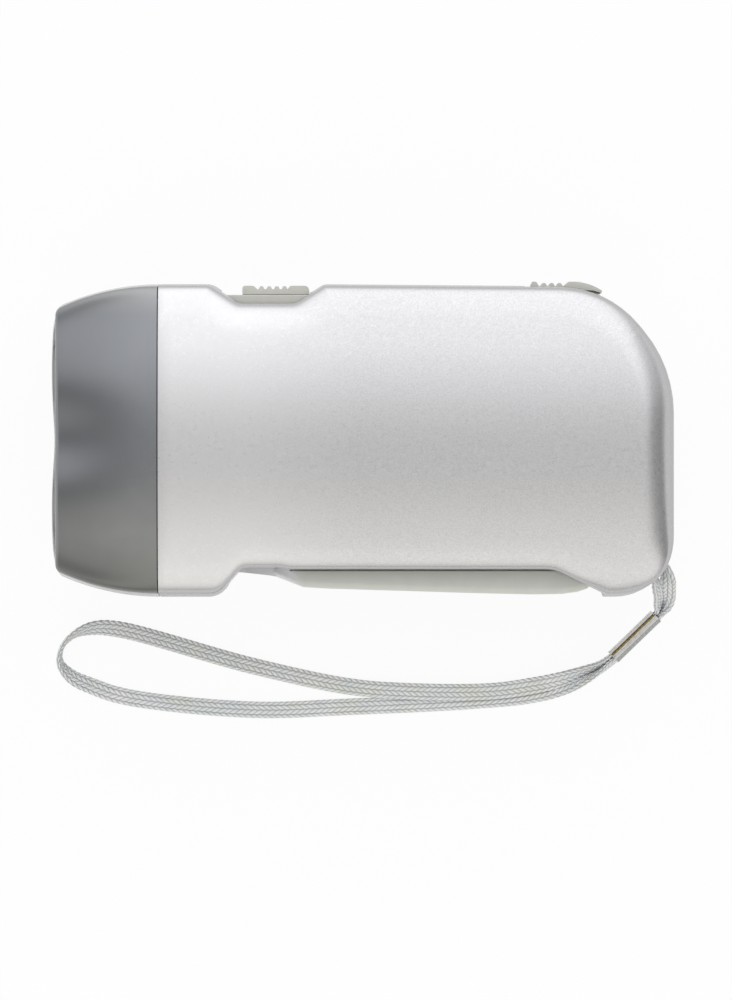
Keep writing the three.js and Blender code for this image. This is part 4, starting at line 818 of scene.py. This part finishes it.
HEAD_BACK_X = SEAM_X - 0.12
HEAD_FRONT_X = head_low.x
HEAD_LENGTH = HEAD_BACK_X - HEAD_FRONT_X
HEAD_DROP_Y = 3.8           # how far its outline draws in toward the front
HEAD_DROP_Z = 5.0
HEAD_BULGE = 1.1            # how much more its broad faces are crowned at the front
HEAD_FACE_STEPS = 44
HEAD_SIDE_STEPS = 7
HEAD_LIP = 0.8
HEAD_BACK_BEVEL = 0.08
VALLEY_DEPTH = 3.2
VALLEY_WIDTH = 6.5
WINDOW_DEPTH = 2.2
SPIGOT_LENGTH = 2.5
LAMP_SPACING = 11.5
LAMP_RADIUS = 10.2
LAMP_WAIST = 7.4
LAMPS = (("upper", LAMP_SPACING), ("lower", -LAMP_SPACING))
LENS_PROUD = 0.7
LENS_THICKNESS = 1.4
CUP_RADIUS = 8.5
CUP_THROAT = 3.0
CUP_WALL = 0.7
LAMP_BULB = 2.5
led_board_low, led_board_high = box_mm("led_board")
LED_BOARD_X = (led_board_low.x + led_board_high.x) / 2 - 0.7


def arc_drop(drop, along):
    radius = (HEAD_LENGTH ** 2 + drop ** 2) / (2 * drop)
    return radius - math.sqrt(radius ** 2 - along ** 2)


def head_ring(along, inset, x):
    """Cross-section of the head at a distance in front of the seam, drawn in by an inset."""
    half_y = TOP_Y - inset - arc_drop(HEAD_DROP_Y, along)
    half_z = MID_Z - inset - arc_drop(HEAD_DROP_Z, along)
    radius = max(FILLET - DRAFT - inset, 0.5)
    straight = half_z - radius
    flat = half_y - DRAFT - radius
    share = along / HEAD_LENGTH

    def side(up):
        """Points of the upper or lower side, from the middle of its wall to the edge of the broad face."""
        power = 2 + (fullness(0, up) - 2) * (1 - share)
        points = [(up * (half_y - DRAFT * k / HEAD_SIDE_STEPS), straight * k / HEAD_SIDE_STEPS, 0.0)
                  for k in range(HEAD_SIDE_STEPS)]
        for k in range(FILLET_STEPS + 1):
            reach, rise = quarter_round(k, power)
            points.append((up * (flat + radius * (1 - reach)), straight + radius * rise, rise ** 2))
        return points

    face = [(flat * (1 - 2 * k / HEAD_FACE_STEPS), half_z, 1.0) for k in range(1, HEAD_FACE_STEPS)]
    half = []
    for y, z, crowned in side(1) + face + side(-1)[::-1]:
        z -= crowned * crown(y) * (1 + HEAD_BULGE * share)
        dip = VALLEY_DEPTH * share ** 2 / MID_Z * math.exp(-((y / VALLEY_WIDTH) ** 2))
        half.append((y, z * (1 - dip)))
    lower = [(y, -z) for y, z in reversed(half)]
    return [(x, y, MID_Z + z) for y, z in half[:-1] + lower[:-1]]


def lamp_height(y, grow):
    beyond = abs(y) - LAMP_SPACING
    if beyond >= 0:
        return math.sqrt(max((LAMP_RADIUS + grow) ** 2 - beyond ** 2, 0))
    dip = (1 + math.cos(math.pi * y / LAMP_SPACING)) / 2
    return LAMP_RADIUS + grow - (LAMP_RADIUS - LAMP_WAIST) * dip


def lamp_point(angle, grow):
    """Where a ray from the middle meets the outline of the two lamps, which is like a figure of eight."""
    low, high = 0.0, 40.0
    for _ in range(36):
        reach = (low + high) / 2
        y, z = reach * math.cos(angle), reach * math.sin(angle)
        if abs(y) < LAMP_SPACING + LAMP_RADIUS + grow and abs(z) < lamp_height(y, grow):
            low = reach
        else:
            high = reach
    return low * math.cos(angle), low * math.sin(angle)


def lamp_outline(grow, count=168):
    return [lamp_point(2 * math.pi * k / count, grow) for k in range(count)]


def add_head():
    def at(along, inset=0.0):
        return head_ring(along, inset, HEAD_BACK_X - along)

    def window_ring(grow, depth):
        """The lamps' outline with a point in the direction of each point of the front."""
        points = [lamp_point(math.atan2(z - MID_Z, y), grow) for _, y, z in front]
        return [(HEAD_FRONT_X + depth, y, MID_Z + z) for y, z in points]

    reach = HEAD_LENGTH - HEAD_LIP - HEAD_BACK_BEVEL
    rings = [head_ring(0, HEAD_BACK_BEVEL, HEAD_BACK_X)]
    rings += [at(HEAD_BACK_BEVEL + reach * k / 24) for k in range(25)]
    for k in range(1, 7):
        a = math.pi / 2 * k / 6
        rings.append(at(HEAD_LENGTH - HEAD_LIP + HEAD_LIP * math.sin(a), HEAD_LIP * (1 - math.cos(a))))
    front = rings[-1]
    window = window_ring(0.25, 0)
    for share in (0.12, 0.35, 0.65, 0.9):
        rings.append([tuple(a + (b - a) * share for a, b in zip(p, q)) for p, q in zip(front, window)])
    rings += [window, window_ring(0.1, 0.15), window_ring(0.1, WINDOW_DEPTH)]
    rings += [at((HEAD_LENGTH - WINDOW_DEPTH) * (1 - k / 8), WALL) for k in range(8)]
    rings.append(at(1.5, WALL))
    for inset, beyond in ((1.6, -1.5), (1.6, SPIGOT_LENGTH), (0.3, SPIGOT_LENGTH), (0.3, 0)):
        rings.append(head_ring(0, WALL + inset, HEAD_BACK_X + beyond))
    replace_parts(add_mesh("head", *hoop(rings), "smoked_head", sharp=40), "head_bezel")


def slab_along_x(name, edge, front_at, back_at, finish, holes=(), spacing=1.2):
    """A piece that fills an outline in the YZ plane between two surfaces, given as x for each point."""
    points, triangles, rings = fill(edge, spacing, holes)
    verts = [(x_at(p), p[0], MID_Z + p[1]) for x_at in (front_at, back_at) for p in points]
    count = len(points)
    faces = triangles + [tuple(i + count for i in reversed(t)) for t in triangles]
    for ring in rings:
        for a, b in zip(ring, ring[1:] + ring[:1]):
            faces.append((a, b, b + count, a + count))
    return add_mesh(name, verts, faces, finish, sharp=40)


def add_lens():
    edge = lamp_outline(-0.05)

    def front(p):
        """Domed at its rim, with a shallow valley between the lamps."""
        rise = 1 - math.exp(-distance_to(p, edge) / 1.1)
        return HEAD_FRONT_X - 0.1 - LENS_PROUD * rise * (1 - 0.5 * math.exp(-((p[0] / 5) ** 2)))

    back = HEAD_FRONT_X + LENS_THICKNESS - 0.1
    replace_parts(slab_along_x("lens", edge, front, lambda p: back, "clear_lens", spacing=0.9), "front_lens")


def add_reflector():
    front = HEAD_FRONT_X + 1.6
    depth = LED_BOARD_X - 2.4 - front
    plate = slab_along_x("reflector_plate", lamp_outline(-0.4), lambda p: front, lambda p: front + 0.9,
                         "reflector_coating", [((y, 0), CUP_RADIUS) for _, y in LAMPS])
    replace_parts(plate, "reflector")
    shares = [k / 24 for k in range(25)]
    inner = [(s * depth, CUP_THROAT + (CUP_RADIUS - CUP_THROAT) * math.sqrt(1 - s)) for s in shares]
    outer = [(a, r + CUP_WALL) for a, r in reversed(inner)]
    for name, y in LAMPS:
        turned(f"reflector_cup_{name}", inner + outer, (front, y, MID_Z), (1, 0, 0), "reflector_coating", 64)


def add_lamps():
    angles = [math.pi / 2 * k / 8 for k in range(9)]
    dome = [(4.3 + LAMP_BULB * math.sin(a), LAMP_BULB * math.cos(a)) for a in angles]
    profile = [(0, 0), (0, 2.9), (0.9, 2.9), (1.0, 2.8), (1.0, LAMP_BULB)] + dome
    for name, y in LAMPS:
        lamp = turned(f"lamp_{name}", profile, (LED_BOARD_X - 0.3, y, MID_Z), (-1, 0, 0), "lamp_resin", 40)
        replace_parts(lamp, f"led_{name}")


# Switch and latch

RIB_PITCH = 1.3
FIRST_RIB_X = -17.45
KNOB_TOP_Y = 26.2
KNOB_VALLEY_Y = 25.62       # between its ribs
BUMP_PITCH = 1.32
SLIDER_VALLEY_Y = 26.15     # between its bumps


def add_switch():
    outline = rectangle(plate_low.x, plate_low.y, plate_high.x, plate_high.y)
    plate = prism("switch_cover", outline, plate_low.z, plate_high.z)
    carve(plate, rectangle(-20.3, 15, -12.7, 30), MID_Z - 2.3, MID_Z + 2.3)
    bevel(plate, 0.2, 3)
    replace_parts(plate, "switch_plate")
    low, high, valley = plate_high.y + 0.15, KNOB_TOP_Y, KNOB_VALLEY_Y
    front, rear = knob_low.x, knob_high.x
    after = FIRST_RIB_X + 4 * RIB_PITCH - 0.75
    corners = [(front, low, 0), (rear, low, 0), (rear, high, 0.75), (after + 0.35, high, 0.5),
               (after, valley, 0.15)]
    for k in (3, 2, 1, 0):
        x = FIRST_RIB_X + k * RIB_PITCH
        corners += [(x + 0.5, valley, 0.12), (x + 0.24, high - 0.08, 0.22), (x - 0.24, high - 0.08, 0.22),
                    (x - 0.5, valley, 0.12)]
    corners += [(front + 2.55, valley, 0.2), (front + 1.9, high, 0.6), (front, high, 0.45)]
    knob = prism("switch_button", rounded(corners, 5), knob_low.z, knob_high.z, "switch", rounding=0.16)
    carve(knob, rectangle(-17, 21.3, -13, low + 0.3), MID_Z - 2, MID_Z + 2, "UNION")
    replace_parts(knob, "switch_knob")


def add_latch():
    x, tail = slider_low.x, slider_high.x
    low, valley = TRACK_FLOOR_Y + 0.15, SLIDER_VALLEY_Y
    corners = [(x, low, 0.1), (x + 8.6, low, 2.0), (x + 10.6, low - 0.08, 1.0), (tail, 24.95, 0.15),
               (tail, 25.42, 0.3), (x + 10.3, 26.33, 5), (x + 8.2, 26.86, 5), (x + 6.35, 26.9, 0.9),
               (x + 5.55, valley, 0.4)]
    for k in (2, 1, 0):
        c = x + 2.2 + BUMP_PITCH * k
        corners += [(c + 0.56, valley, 0.15), (c + 0.26, 26.66, 0.26), (c - 0.26, 26.66, 0.26),
                    (c - 0.56, valley, 0.15)]
    corners += [(x + 1.35, valley, 0.3), (x + 0.95, 26.85, 0.4), (x + 0.15, 26.93, 0.3)]
    slider = prism("latch_button", rounded(corners, 5), slider_low.z, slider_high.z, "latch", rounding=0.18)
    carve(slider, rectangle(x + 1.3, 21.9, x + 5.3, low + 0.3), MID_Z - 3, MID_Z + 3, "UNION")
    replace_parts(slider, "latch_slider")


# Squeeze lever

PIVOT = (-20.5, -17.8)
PIVOT_BOSS = 4.6
PIVOT_BORE = 1.35
NECK_HALF_WIDTH = 7.5
GRIP_HALF_WIDTH = (lever_high.z - lever_low.z) / 2
GRIP_WALL = 2.0
LEVER_TIP_X = lever_high.x
LEVER_TOP_Y = -20.4
SEAT_FRONT_X = 26.3         # of the block that carries the rack
SEAT_REAR_X = 34.7
GAP_LOW_Y = -22.14          # the grip stands back from the casing above this
GAP_HIGH_Y = -21.6
GAP_DEPTH = 1.6

Station = namedtuple("Station", "x bottom_y inset radius run", defaults=(0.0, 1.2, 0.0))


def grip_ring(station, steps=6):
    """A section of the grip: a rectangle whose two lower corners are rounded, slanted along X by its run."""
    span = LEVER_TOP_Y - station.bottom_y
    half_width = GRIP_HALF_WIDTH - station.inset
    radius = min(station.radius, span * 0.45)
    corner = []
    for k in range(steps + 1):
        a = math.pi / 2 * k / steps
        y = station.bottom_y + radius * (1 - math.sin(a))
        corner.append((y, half_width - radius * (1 - math.cos(a))))
    half = [(LEVER_TOP_Y, half_width)] + corner
    ring = []
    for y, z in [(y, -z) for y, z in half] + half[::-1]:
        ring.append((station.x + station.run * (LEVER_TOP_Y - y) / span, y, MID_Z + z))
    return ring


def add_lever():
    wide, top, tip = GRIP_HALF_WIDTH, LEVER_TOP_Y, LEVER_TIP_X
    x, y = PIVOT
    stations = [
        Station(-14.4, -22.85, wide - NECK_HALF_WIDTH - 0.1, 0.9, -1.2),
        Station(-12.9, -24.85, 0, 1.1, 2.6),
        Station(-9.0, -25.1, run=3.0),
        Station(7.0, -25.5),
        Station(18.0, -25.85),
        Station(28.2, -26.08),
        Station(33.3, -26.0),
        Station(35.9, -25.65),
        Station(37.6, -25.1, 0.1),
        Station(38.7, -24.2, 0.35, 1.1, -0.1),
        Station(tip, -23.2, 0.9, 0.9),
    ]
    grip = add_mesh("lever_grip", *tube([grip_ring(s) for s in stations]), "lever_grey", "lever", sharp=25)
    channel = [(-9.5, -22.6), (28.0, -24.1), (33.0, -24.0), (tip - 2.4, -22.8), (tip - 2.0, -19.0),
               (-9.5, -19.0)]
    carve(grip, channel, MID_Z - wide + GRIP_WALL, MID_Z + wide - GRIP_WALL)
    neck = rounded([(x, y - PIVOT_BOSS, 0), (-15.6, -22.95, 0.3), (-9.0, -24.3, 0), (-8.0, top, 0),
                    (-17.5, y + 3.4, 0)])
    for outline in (neck, circle(x, y, PIVOT_BOSS, 48)):
        carve(grip, outline, MID_Z - NECK_HALF_WIDTH, MID_Z + NECK_HALF_WIDTH, "UNION")
    seat = rectangle(SEAT_FRONT_X, -24.6, SEAT_REAR_X, top)
    carve(grip, seat, MID_Z - wide + 1, box_mm("lever_rack")[0].z - 0.3, "UNION")
    for low_z, high_z in ((MID_Z + wide - GAP_DEPTH, THICKNESS), (0, MID_Z - wide + GAP_DEPTH)):
        carve(grip, rectangle(-12.6, GAP_LOW_Y, 37.2, GAP_HIGH_Y), low_z, high_z)
    carve(grip, circle(x, y, PIVOT_BORE, 32), -1, THICKNESS + 1)
    bevel(grip, 0.15, angle=38, sharp=30)
    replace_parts(grip, "squeeze_lever")


# Casing screws


def add_screws():
    """Round heads, each with a cross recess turned its own way."""
    for k, (low, high) in enumerate(SCREW_BOXES, 1):
        x, y, length = (low.x + high.x) / 2, (low.y + high.y) / 2, high.z - low.z
        profile = [(0, 0), (0, 1.2), (0.12, 1.55), (0.35, 1.8), (0.6, 1.88), (1.4, 1.88), (1.4, 1.1),
                   (length - 1.2, 1.1), (length, 0.3), (length, 0)]
        screw = turned(f"screw_{k}", profile, (x, y, low.z), (0, 0, 1), "steel", 40)
        turn = math.radians(17 + 31 * k)
        for angle in (turn, turn + math.pi / 2):
            c, s = math.cos(angle), math.sin(angle)
            outline = [(x + c * a - s * b, y + s * a + c * b) for a, b in rectangle(-1.15, -0.2, 1.15, 0.2)]
            carve(screw, outline, low.z - 1, low.z + 0.85)
        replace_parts(screw, f"casing_screw_{k}")


# Wrist strap

STRAP_WIDTH = 2.9
STRAP_THICKNESS = 0.8
STRAP_SQUARENESS = 3.4
CRIMP_TOP = Vector((50.0, -30.0, 11.2))
CRIMP_LOW = Vector((42.9, -37.3, 3.4))
CRIMP_LENGTH = 12.7
CRIMP_AXIS = (CRIMP_LOW - CRIMP_TOP).normalized()
CRIMP_MIDDLE = (CRIMP_TOP + CRIMP_LOW) / 2
SQUEEZE = 0.28              # how much narrower the strap is inside the sleeve
STITCH_COLUMNS = 8          # round the whole strap
STITCH_LENGTH = 1.05
STITCH_SLANT = 1.05         # of a stitch, across its column
STITCH_HEIGHT = 0.2
STRAP_STEP = 0.15
POINTS_PER_COLUMN = 7
SECTION_SAMPLES = 720
ROUTE_SAMPLES = 6000

# Each point is x, y, z and the roll of the strap: 0 lies flat, 90 stands on its edge
STRAP_ROUTE = [
    (45.96, -33.51, 7.12, 76), (42.04, -37.55, 2.8, 76), (40.3, -38.7, 1.75, 70), (37.3, -39.9, 1.6, 55),
    (33.8, -41.2, 1.6, 25), (28.6, -42.3, 1.6, 5), (21.7, -43.2, 1.6, 0), (7.9, -43.2, 1.4, 0),
    (-2.5, -42.4, 0.8, 0), (-19.5, -38.8, 0.5, 0), (-42.6, -32.5, 0.7, 12), (-47.0, -32.3, 1.2, 40),
    (-50.2, -33.4, 1.6, 75), (-52.3, -35.6, 1.6, 90), (-52.6, -38.2, 1.6, 75), (-50.7, -40.6, 1.3, 42),
    (-47.2, -42.3, 0.8, 15), (-41.2, -44.2, 0.5, 0), (-19.5, -46.4, 0.5, 0), (-2.5, -45.9, 0.5, 0),
    (18.2, -44.9, 0.5, 0), (28.6, -43.9, 0.6, 5), (35.5, -42.2, 1.3, 40), (40.7, -39.8, 1.9, 88),
    (42.68, -38.17, 2.8, 104), (46.77, -33.96, 7.3, 104), (50.86, -29.75, 11.8, 104), (51.7, -27.8, 13.9, 50),
    (51.75, -25.2, 16.9, 5), (51.5, -22.2, 19.5, 60), (49.3, -19.0, 20, 90), (47.2, -18.1, 20, 90),
    (44.9, -18.5, 20, 90), (44.4, -20.6, 20, 90), (46.1, -21.9, 20, 90), (48.7, -23.1, 20, 80),
    (49.95, -25.3, 18.4, 52), (50.35, -27.6, 14.8, 56), (50.22, -29.13, 11.8, 76), (46.3, -33.17, 7.48, 76),
]


def on_route(points, t):
    """A centripetal Catmull-Rom curve through the points, at t from 0 to 1."""
    count = len(points)
    place = (count - 1) * t
    index = min(int(place), count - 2)
    weight = place - index
    p1, p2 = points[index], points[index + 1]
    p0 = points[index - 1] if index > 0 else 2 * p1 - p2
    p3 = points[index + 2] if index + 2 < count else 2 * p2 - p1
    d0, d1, d2 = (max((a - b).length ** 0.5, 1e-4) for a, b in ((p0, p1), (p1, p2), (p2, p3)))
    t1 = ((p1 - p0) / d0 - (p2 - p0) / (d0 + d1) + (p2 - p1) / d1) * d1
    t2 = ((p2 - p1) / d1 - (p3 - p1) / (d1 + d2) + (p3 - p2) / d2) * d1
    c2 = -3 * p1 + 3 * p2 - 2 * t1 - t2
    c3 = 2 * p1 - 2 * p2 + t1 + t2
    return p1 + t1 * weight + c2 * weight ** 2 + c3 * weight ** 3


def even_steps(points, count_for):
    """Even steps along a line of points: how far each has come, the point before it and the share beyond.
    count_for gives their number from the line's length."""
    lengths = [0.0]
    for a, b in zip(points, points[1:]):
        lengths.append(lengths[-1] + (b - a).length)
    count = count_for(lengths[-1])
    steps = []
    k = 0
    for i in range(count + 1):
        wanted = lengths[-1] * i / count
        while k < len(points) - 2 and lengths[k + 1] < wanted:
            k += 1
        steps.append((wanted, k, (wanted - lengths[k]) / (lengths[k + 1] - lengths[k])))
    return steps


def strap_section(count):
    """Points round the strap at even distances, with the direction that each faces."""
    fine = []
    for c, s in circle(0, 0, 1, SECTION_SAMPLES):
        power = 2 / STRAP_SQUARENESS
        fine.append(Vector((math.copysign(abs(c) ** power, c) * STRAP_WIDTH / 2,
                            math.copysign(abs(s) ** power, s) * STRAP_THICKNESS / 2)))
    fine.append(fine[0])
    steps = even_steps(fine, lambda length: count)[:-1]
    points = [fine[k].lerp(fine[k + 1], share) for _, k, share in steps]
    tangents = [(points[(i + 1) % count] - points[i - 1]).normalized() for i in range(count)]
    return [(p, Vector((tangent.y, -tangent.x))) for p, tangent in zip(points, tangents)]


def stitch(along, column_place):
    """Height of the braid from 0 to 1: slanted stitches in columns that lean to alternate sides."""
    column = math.floor(column_place)
    q = column_place - column - 0.5
    lean = 1 if column % 2 == 0 else -1
    phase = along / STITCH_LENGTH + lean * STITCH_SLANT * q + 0.5 * (column % 2)
    return abs(math.cos(math.pi * phase)) ** 0.7 * math.cos(math.pi * q) ** 0.4


def squeeze_at(place):
    """How wide the strap is, which narrows in its sleeve."""
    offset = place - CRIMP_MIDDLE
    along = offset.dot(CRIMP_AXIS)
    if (offset - CRIMP_AXIS * along).length >= 3:
        return 1.0
    return 1 - SQUEEZE * smooth_step((CRIMP_LENGTH / 2 + 0.6 - abs(along)) / 1.6)


def add_strap():
    """The braided strap, with its middle line in metres and its length."""
    places = [Vector(p[:3]) for p in STRAP_ROUTE]
    rolls = [Vector((k, p[3], 0)) for k, p in enumerate(STRAP_ROUTE)]
    fine = [on_route(places, k / ROUTE_SAMPLES) for k in range(ROUTE_SAMPLES + 1)]
    section = strap_section(STITCH_COLUMNS * POINTS_PER_COLUMN)
    steps = even_steps(fine, lambda length: round(length / STRAP_STEP))
    rings, centres, grooves = [], [], []
    for distance, k, share in steps:
        t = (k + share) / ROUTE_SAMPLES
        at = on_route(places, t)
        along = (on_route(places, min(t + 1e-4, 1)) - on_route(places, max(t - 1e-4, 0))).normalized()
        level = along.cross(Z_AXIS).normalized()
        roll = math.radians(on_route(rolls, t).y)
        wide = level * math.cos(roll) + level.cross(along) * math.sin(roll)
        thin = wide.cross(along)
        squeeze = squeeze_at(at)
        centres.append(tuple(at * MM))
        ring = []
        for j, (p, normal) in enumerate(section):
            height = stitch(distance, j / POINTS_PER_COLUMN)
            q = p * squeeze + normal * STITCH_HEIGHT * (height - 0.75)
            ring.append(at + wide * q.x + thin * q.y)
            grooves.append(1 - height)
        rings.append(ring)
    strap = add_mesh("strap", *tube(rings), "strap_braid", sharp=80)
    # The depth between stitches, which the yarn's material darkens as painted shade.
    strap.data.attributes.new("groove", "FLOAT", "POINT").data.foreach_set("value", grooves)
    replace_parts(strap, "wrist_strap")
    return strap, centres, steps[-1][0]


# Crimp sleeve: sheet metal folded round both strands, its two edges curled into a groove along the top

CRIMP_ROLL = math.radians(14)
CRIMP_SHEET = 0.22
CRIMP_STEPS = 110
CRIMP_FOLD = [
    (-0.32, 0.9, 0), (-0.34, 1.6, 0.2), (-0.56, 1.82, 0.25), (-0.88, 1.66, 0.3), (-0.88, -1.5, 0.35),
    (-0.6, -1.72, 0.3), (0.6, -1.72, 0.3), (0.88, -1.5, 0.35),
    *((0.88, y, 0) for y in (-0.7, -0.3, 0, 0.3, 0.6, 0.9)),
    (0.88, 1.7, 0.14), (0.62, 1.86, 0.2), (0.16, 1.7, 0.2), (0.12, 0.9, 0),
]
DIMPLE_PITCH = 0.92
DIMPLE_DEPTH = 0.14
DIMPLE_HEIGHT = 0.3         # above the middle of the sleeve
SEAM_STEPS = 40


def smooth_line(corners, steps=4):
    """An open line through corners (x, y, radius), each inner one rounded."""
    points = [Vector(corners[0][:2])]
    for start, (x, y, radius), end in zip(corners, corners[1:], corners[2:]):
        corner = Vector((x, y))
        if radius == 0:
            points.append(corner)
            continue
        before, after = Vector(start[:2]) - corner, Vector(end[:2]) - corner
        reach = min(radius, before.length * 0.45, after.length * 0.45)
        begin, end = corner + before.normalized() * reach, corner + after.normalized() * reach
        for s in (k / steps for k in range(steps + 1)):
            points.append(begin * (1 - s) ** 2 + corner * 2 * s * (1 - s) + end * s ** 2)
    points.append(Vector(corners[-1][:2]))
    return points


def add_crimp():
    """The sleeve and the brass seam in its groove."""
    line = smooth_line(CRIMP_FOLD)
    outer, inner = [], []
    for i, p in enumerate(line):
        tangent = (line[min(i + 1, len(line) - 1)] - line[max(i - 1, 0)]).normalized()
        half_sheet = Vector((-tangent.y, tangent.x)) * CRIMP_SHEET / 2
        outer.append(p - half_sheet)
        inner.append(p + half_sheet)
    side = CRIMP_AXIS.cross(Z_AXIS).normalized()
    upright = side.cross(CRIMP_AXIS)
    turn = Matrix.Rotation(CRIMP_ROLL, 2)
    lean = -CRIMP_AXIS.z / CRIMP_AXIS.xy.length

    def placed(p, reach):
        """A point of the section in space. The ends of the sleeve are cut upright."""
        q = turn @ p
        return CRIMP_MIDDLE + CRIMP_AXIS * (reach - lean * q.y) - side * q.x + upright * q.y

    def dimpled(p, reach):
        if p.x <= 0.6:
            return p
        beyond = (reach / DIMPLE_PITCH) % 1 - 0.5
        depth = DIMPLE_DEPTH * math.exp(-((p.y - DIMPLE_HEIGHT) / 0.3) ** 2 - (beyond / 0.22) ** 2)
        return p - Vector((depth, 0))

    rings = []
    for share in (k / CRIMP_STEPS for k in range(CRIMP_STEPS + 1)):
        reach = (share - 0.5) * CRIMP_LENGTH
        flare = 0.04 * (abs(2 * share - 1) ** 12)
        rings.append([placed(dimpled(p, reach) * (1 + flare), reach) for p in outer + inner[::-1]])
    crimp = add_mesh("crimp_sleeve", *tube(rings), "crimp_metal", sharp=50)
    # Painted shade: the faces toward +X and -Y take the darker copy of the sleeve metal.
    crimp.data.materials.append(MATERIALS["crimp_side"])
    facing = upright * math.sin(CRIMP_ROLL) - side * math.cos(CRIMP_ROLL)
    for face in crimp.data.polygons:
        if face.normal.dot(facing) > 0.85:
            face.material_index = 1
    bevel(crimp, 0.05, angle=50, sharp=50)
    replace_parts(crimp, "strap_crimp")
    rings = []
    for k in range(SEAM_STEPS + 1):
        reach = (k / SEAM_STEPS - 0.5) * (CRIMP_LENGTH - 0.3)
        rise = 0.04 * math.cos(2 * math.pi * reach / DIMPLE_PITCH)
        section = [(-0.3, 0.95), (0.1, 0.95), (0.1, 1.42 + rise), (-0.1, 1.5 + rise), (-0.3, 1.42 + rise)]
        rings.append([placed(Vector(p), reach) for p in section])
    return crimp, add_mesh("crimp_seam", *tube(rings), "crimp_seam", sharp=40)


def add_cord():
    strap, centres, length = add_strap()
    add_crimp()


add_camera()
add_world()
add_floor()
mix_shell_paints()
mix_plastics()
mix_metals()
mix_yarn()
dress_nodes()
add_cord()
add_shells()
add_head()
add_lens()
add_reflector()
add_lamps()
add_switch()
add_latch()
add_lever()
add_screws()

bpy.context.scene.view_settings.view_transform = "Standard"

bpy.context.view_layer.update()
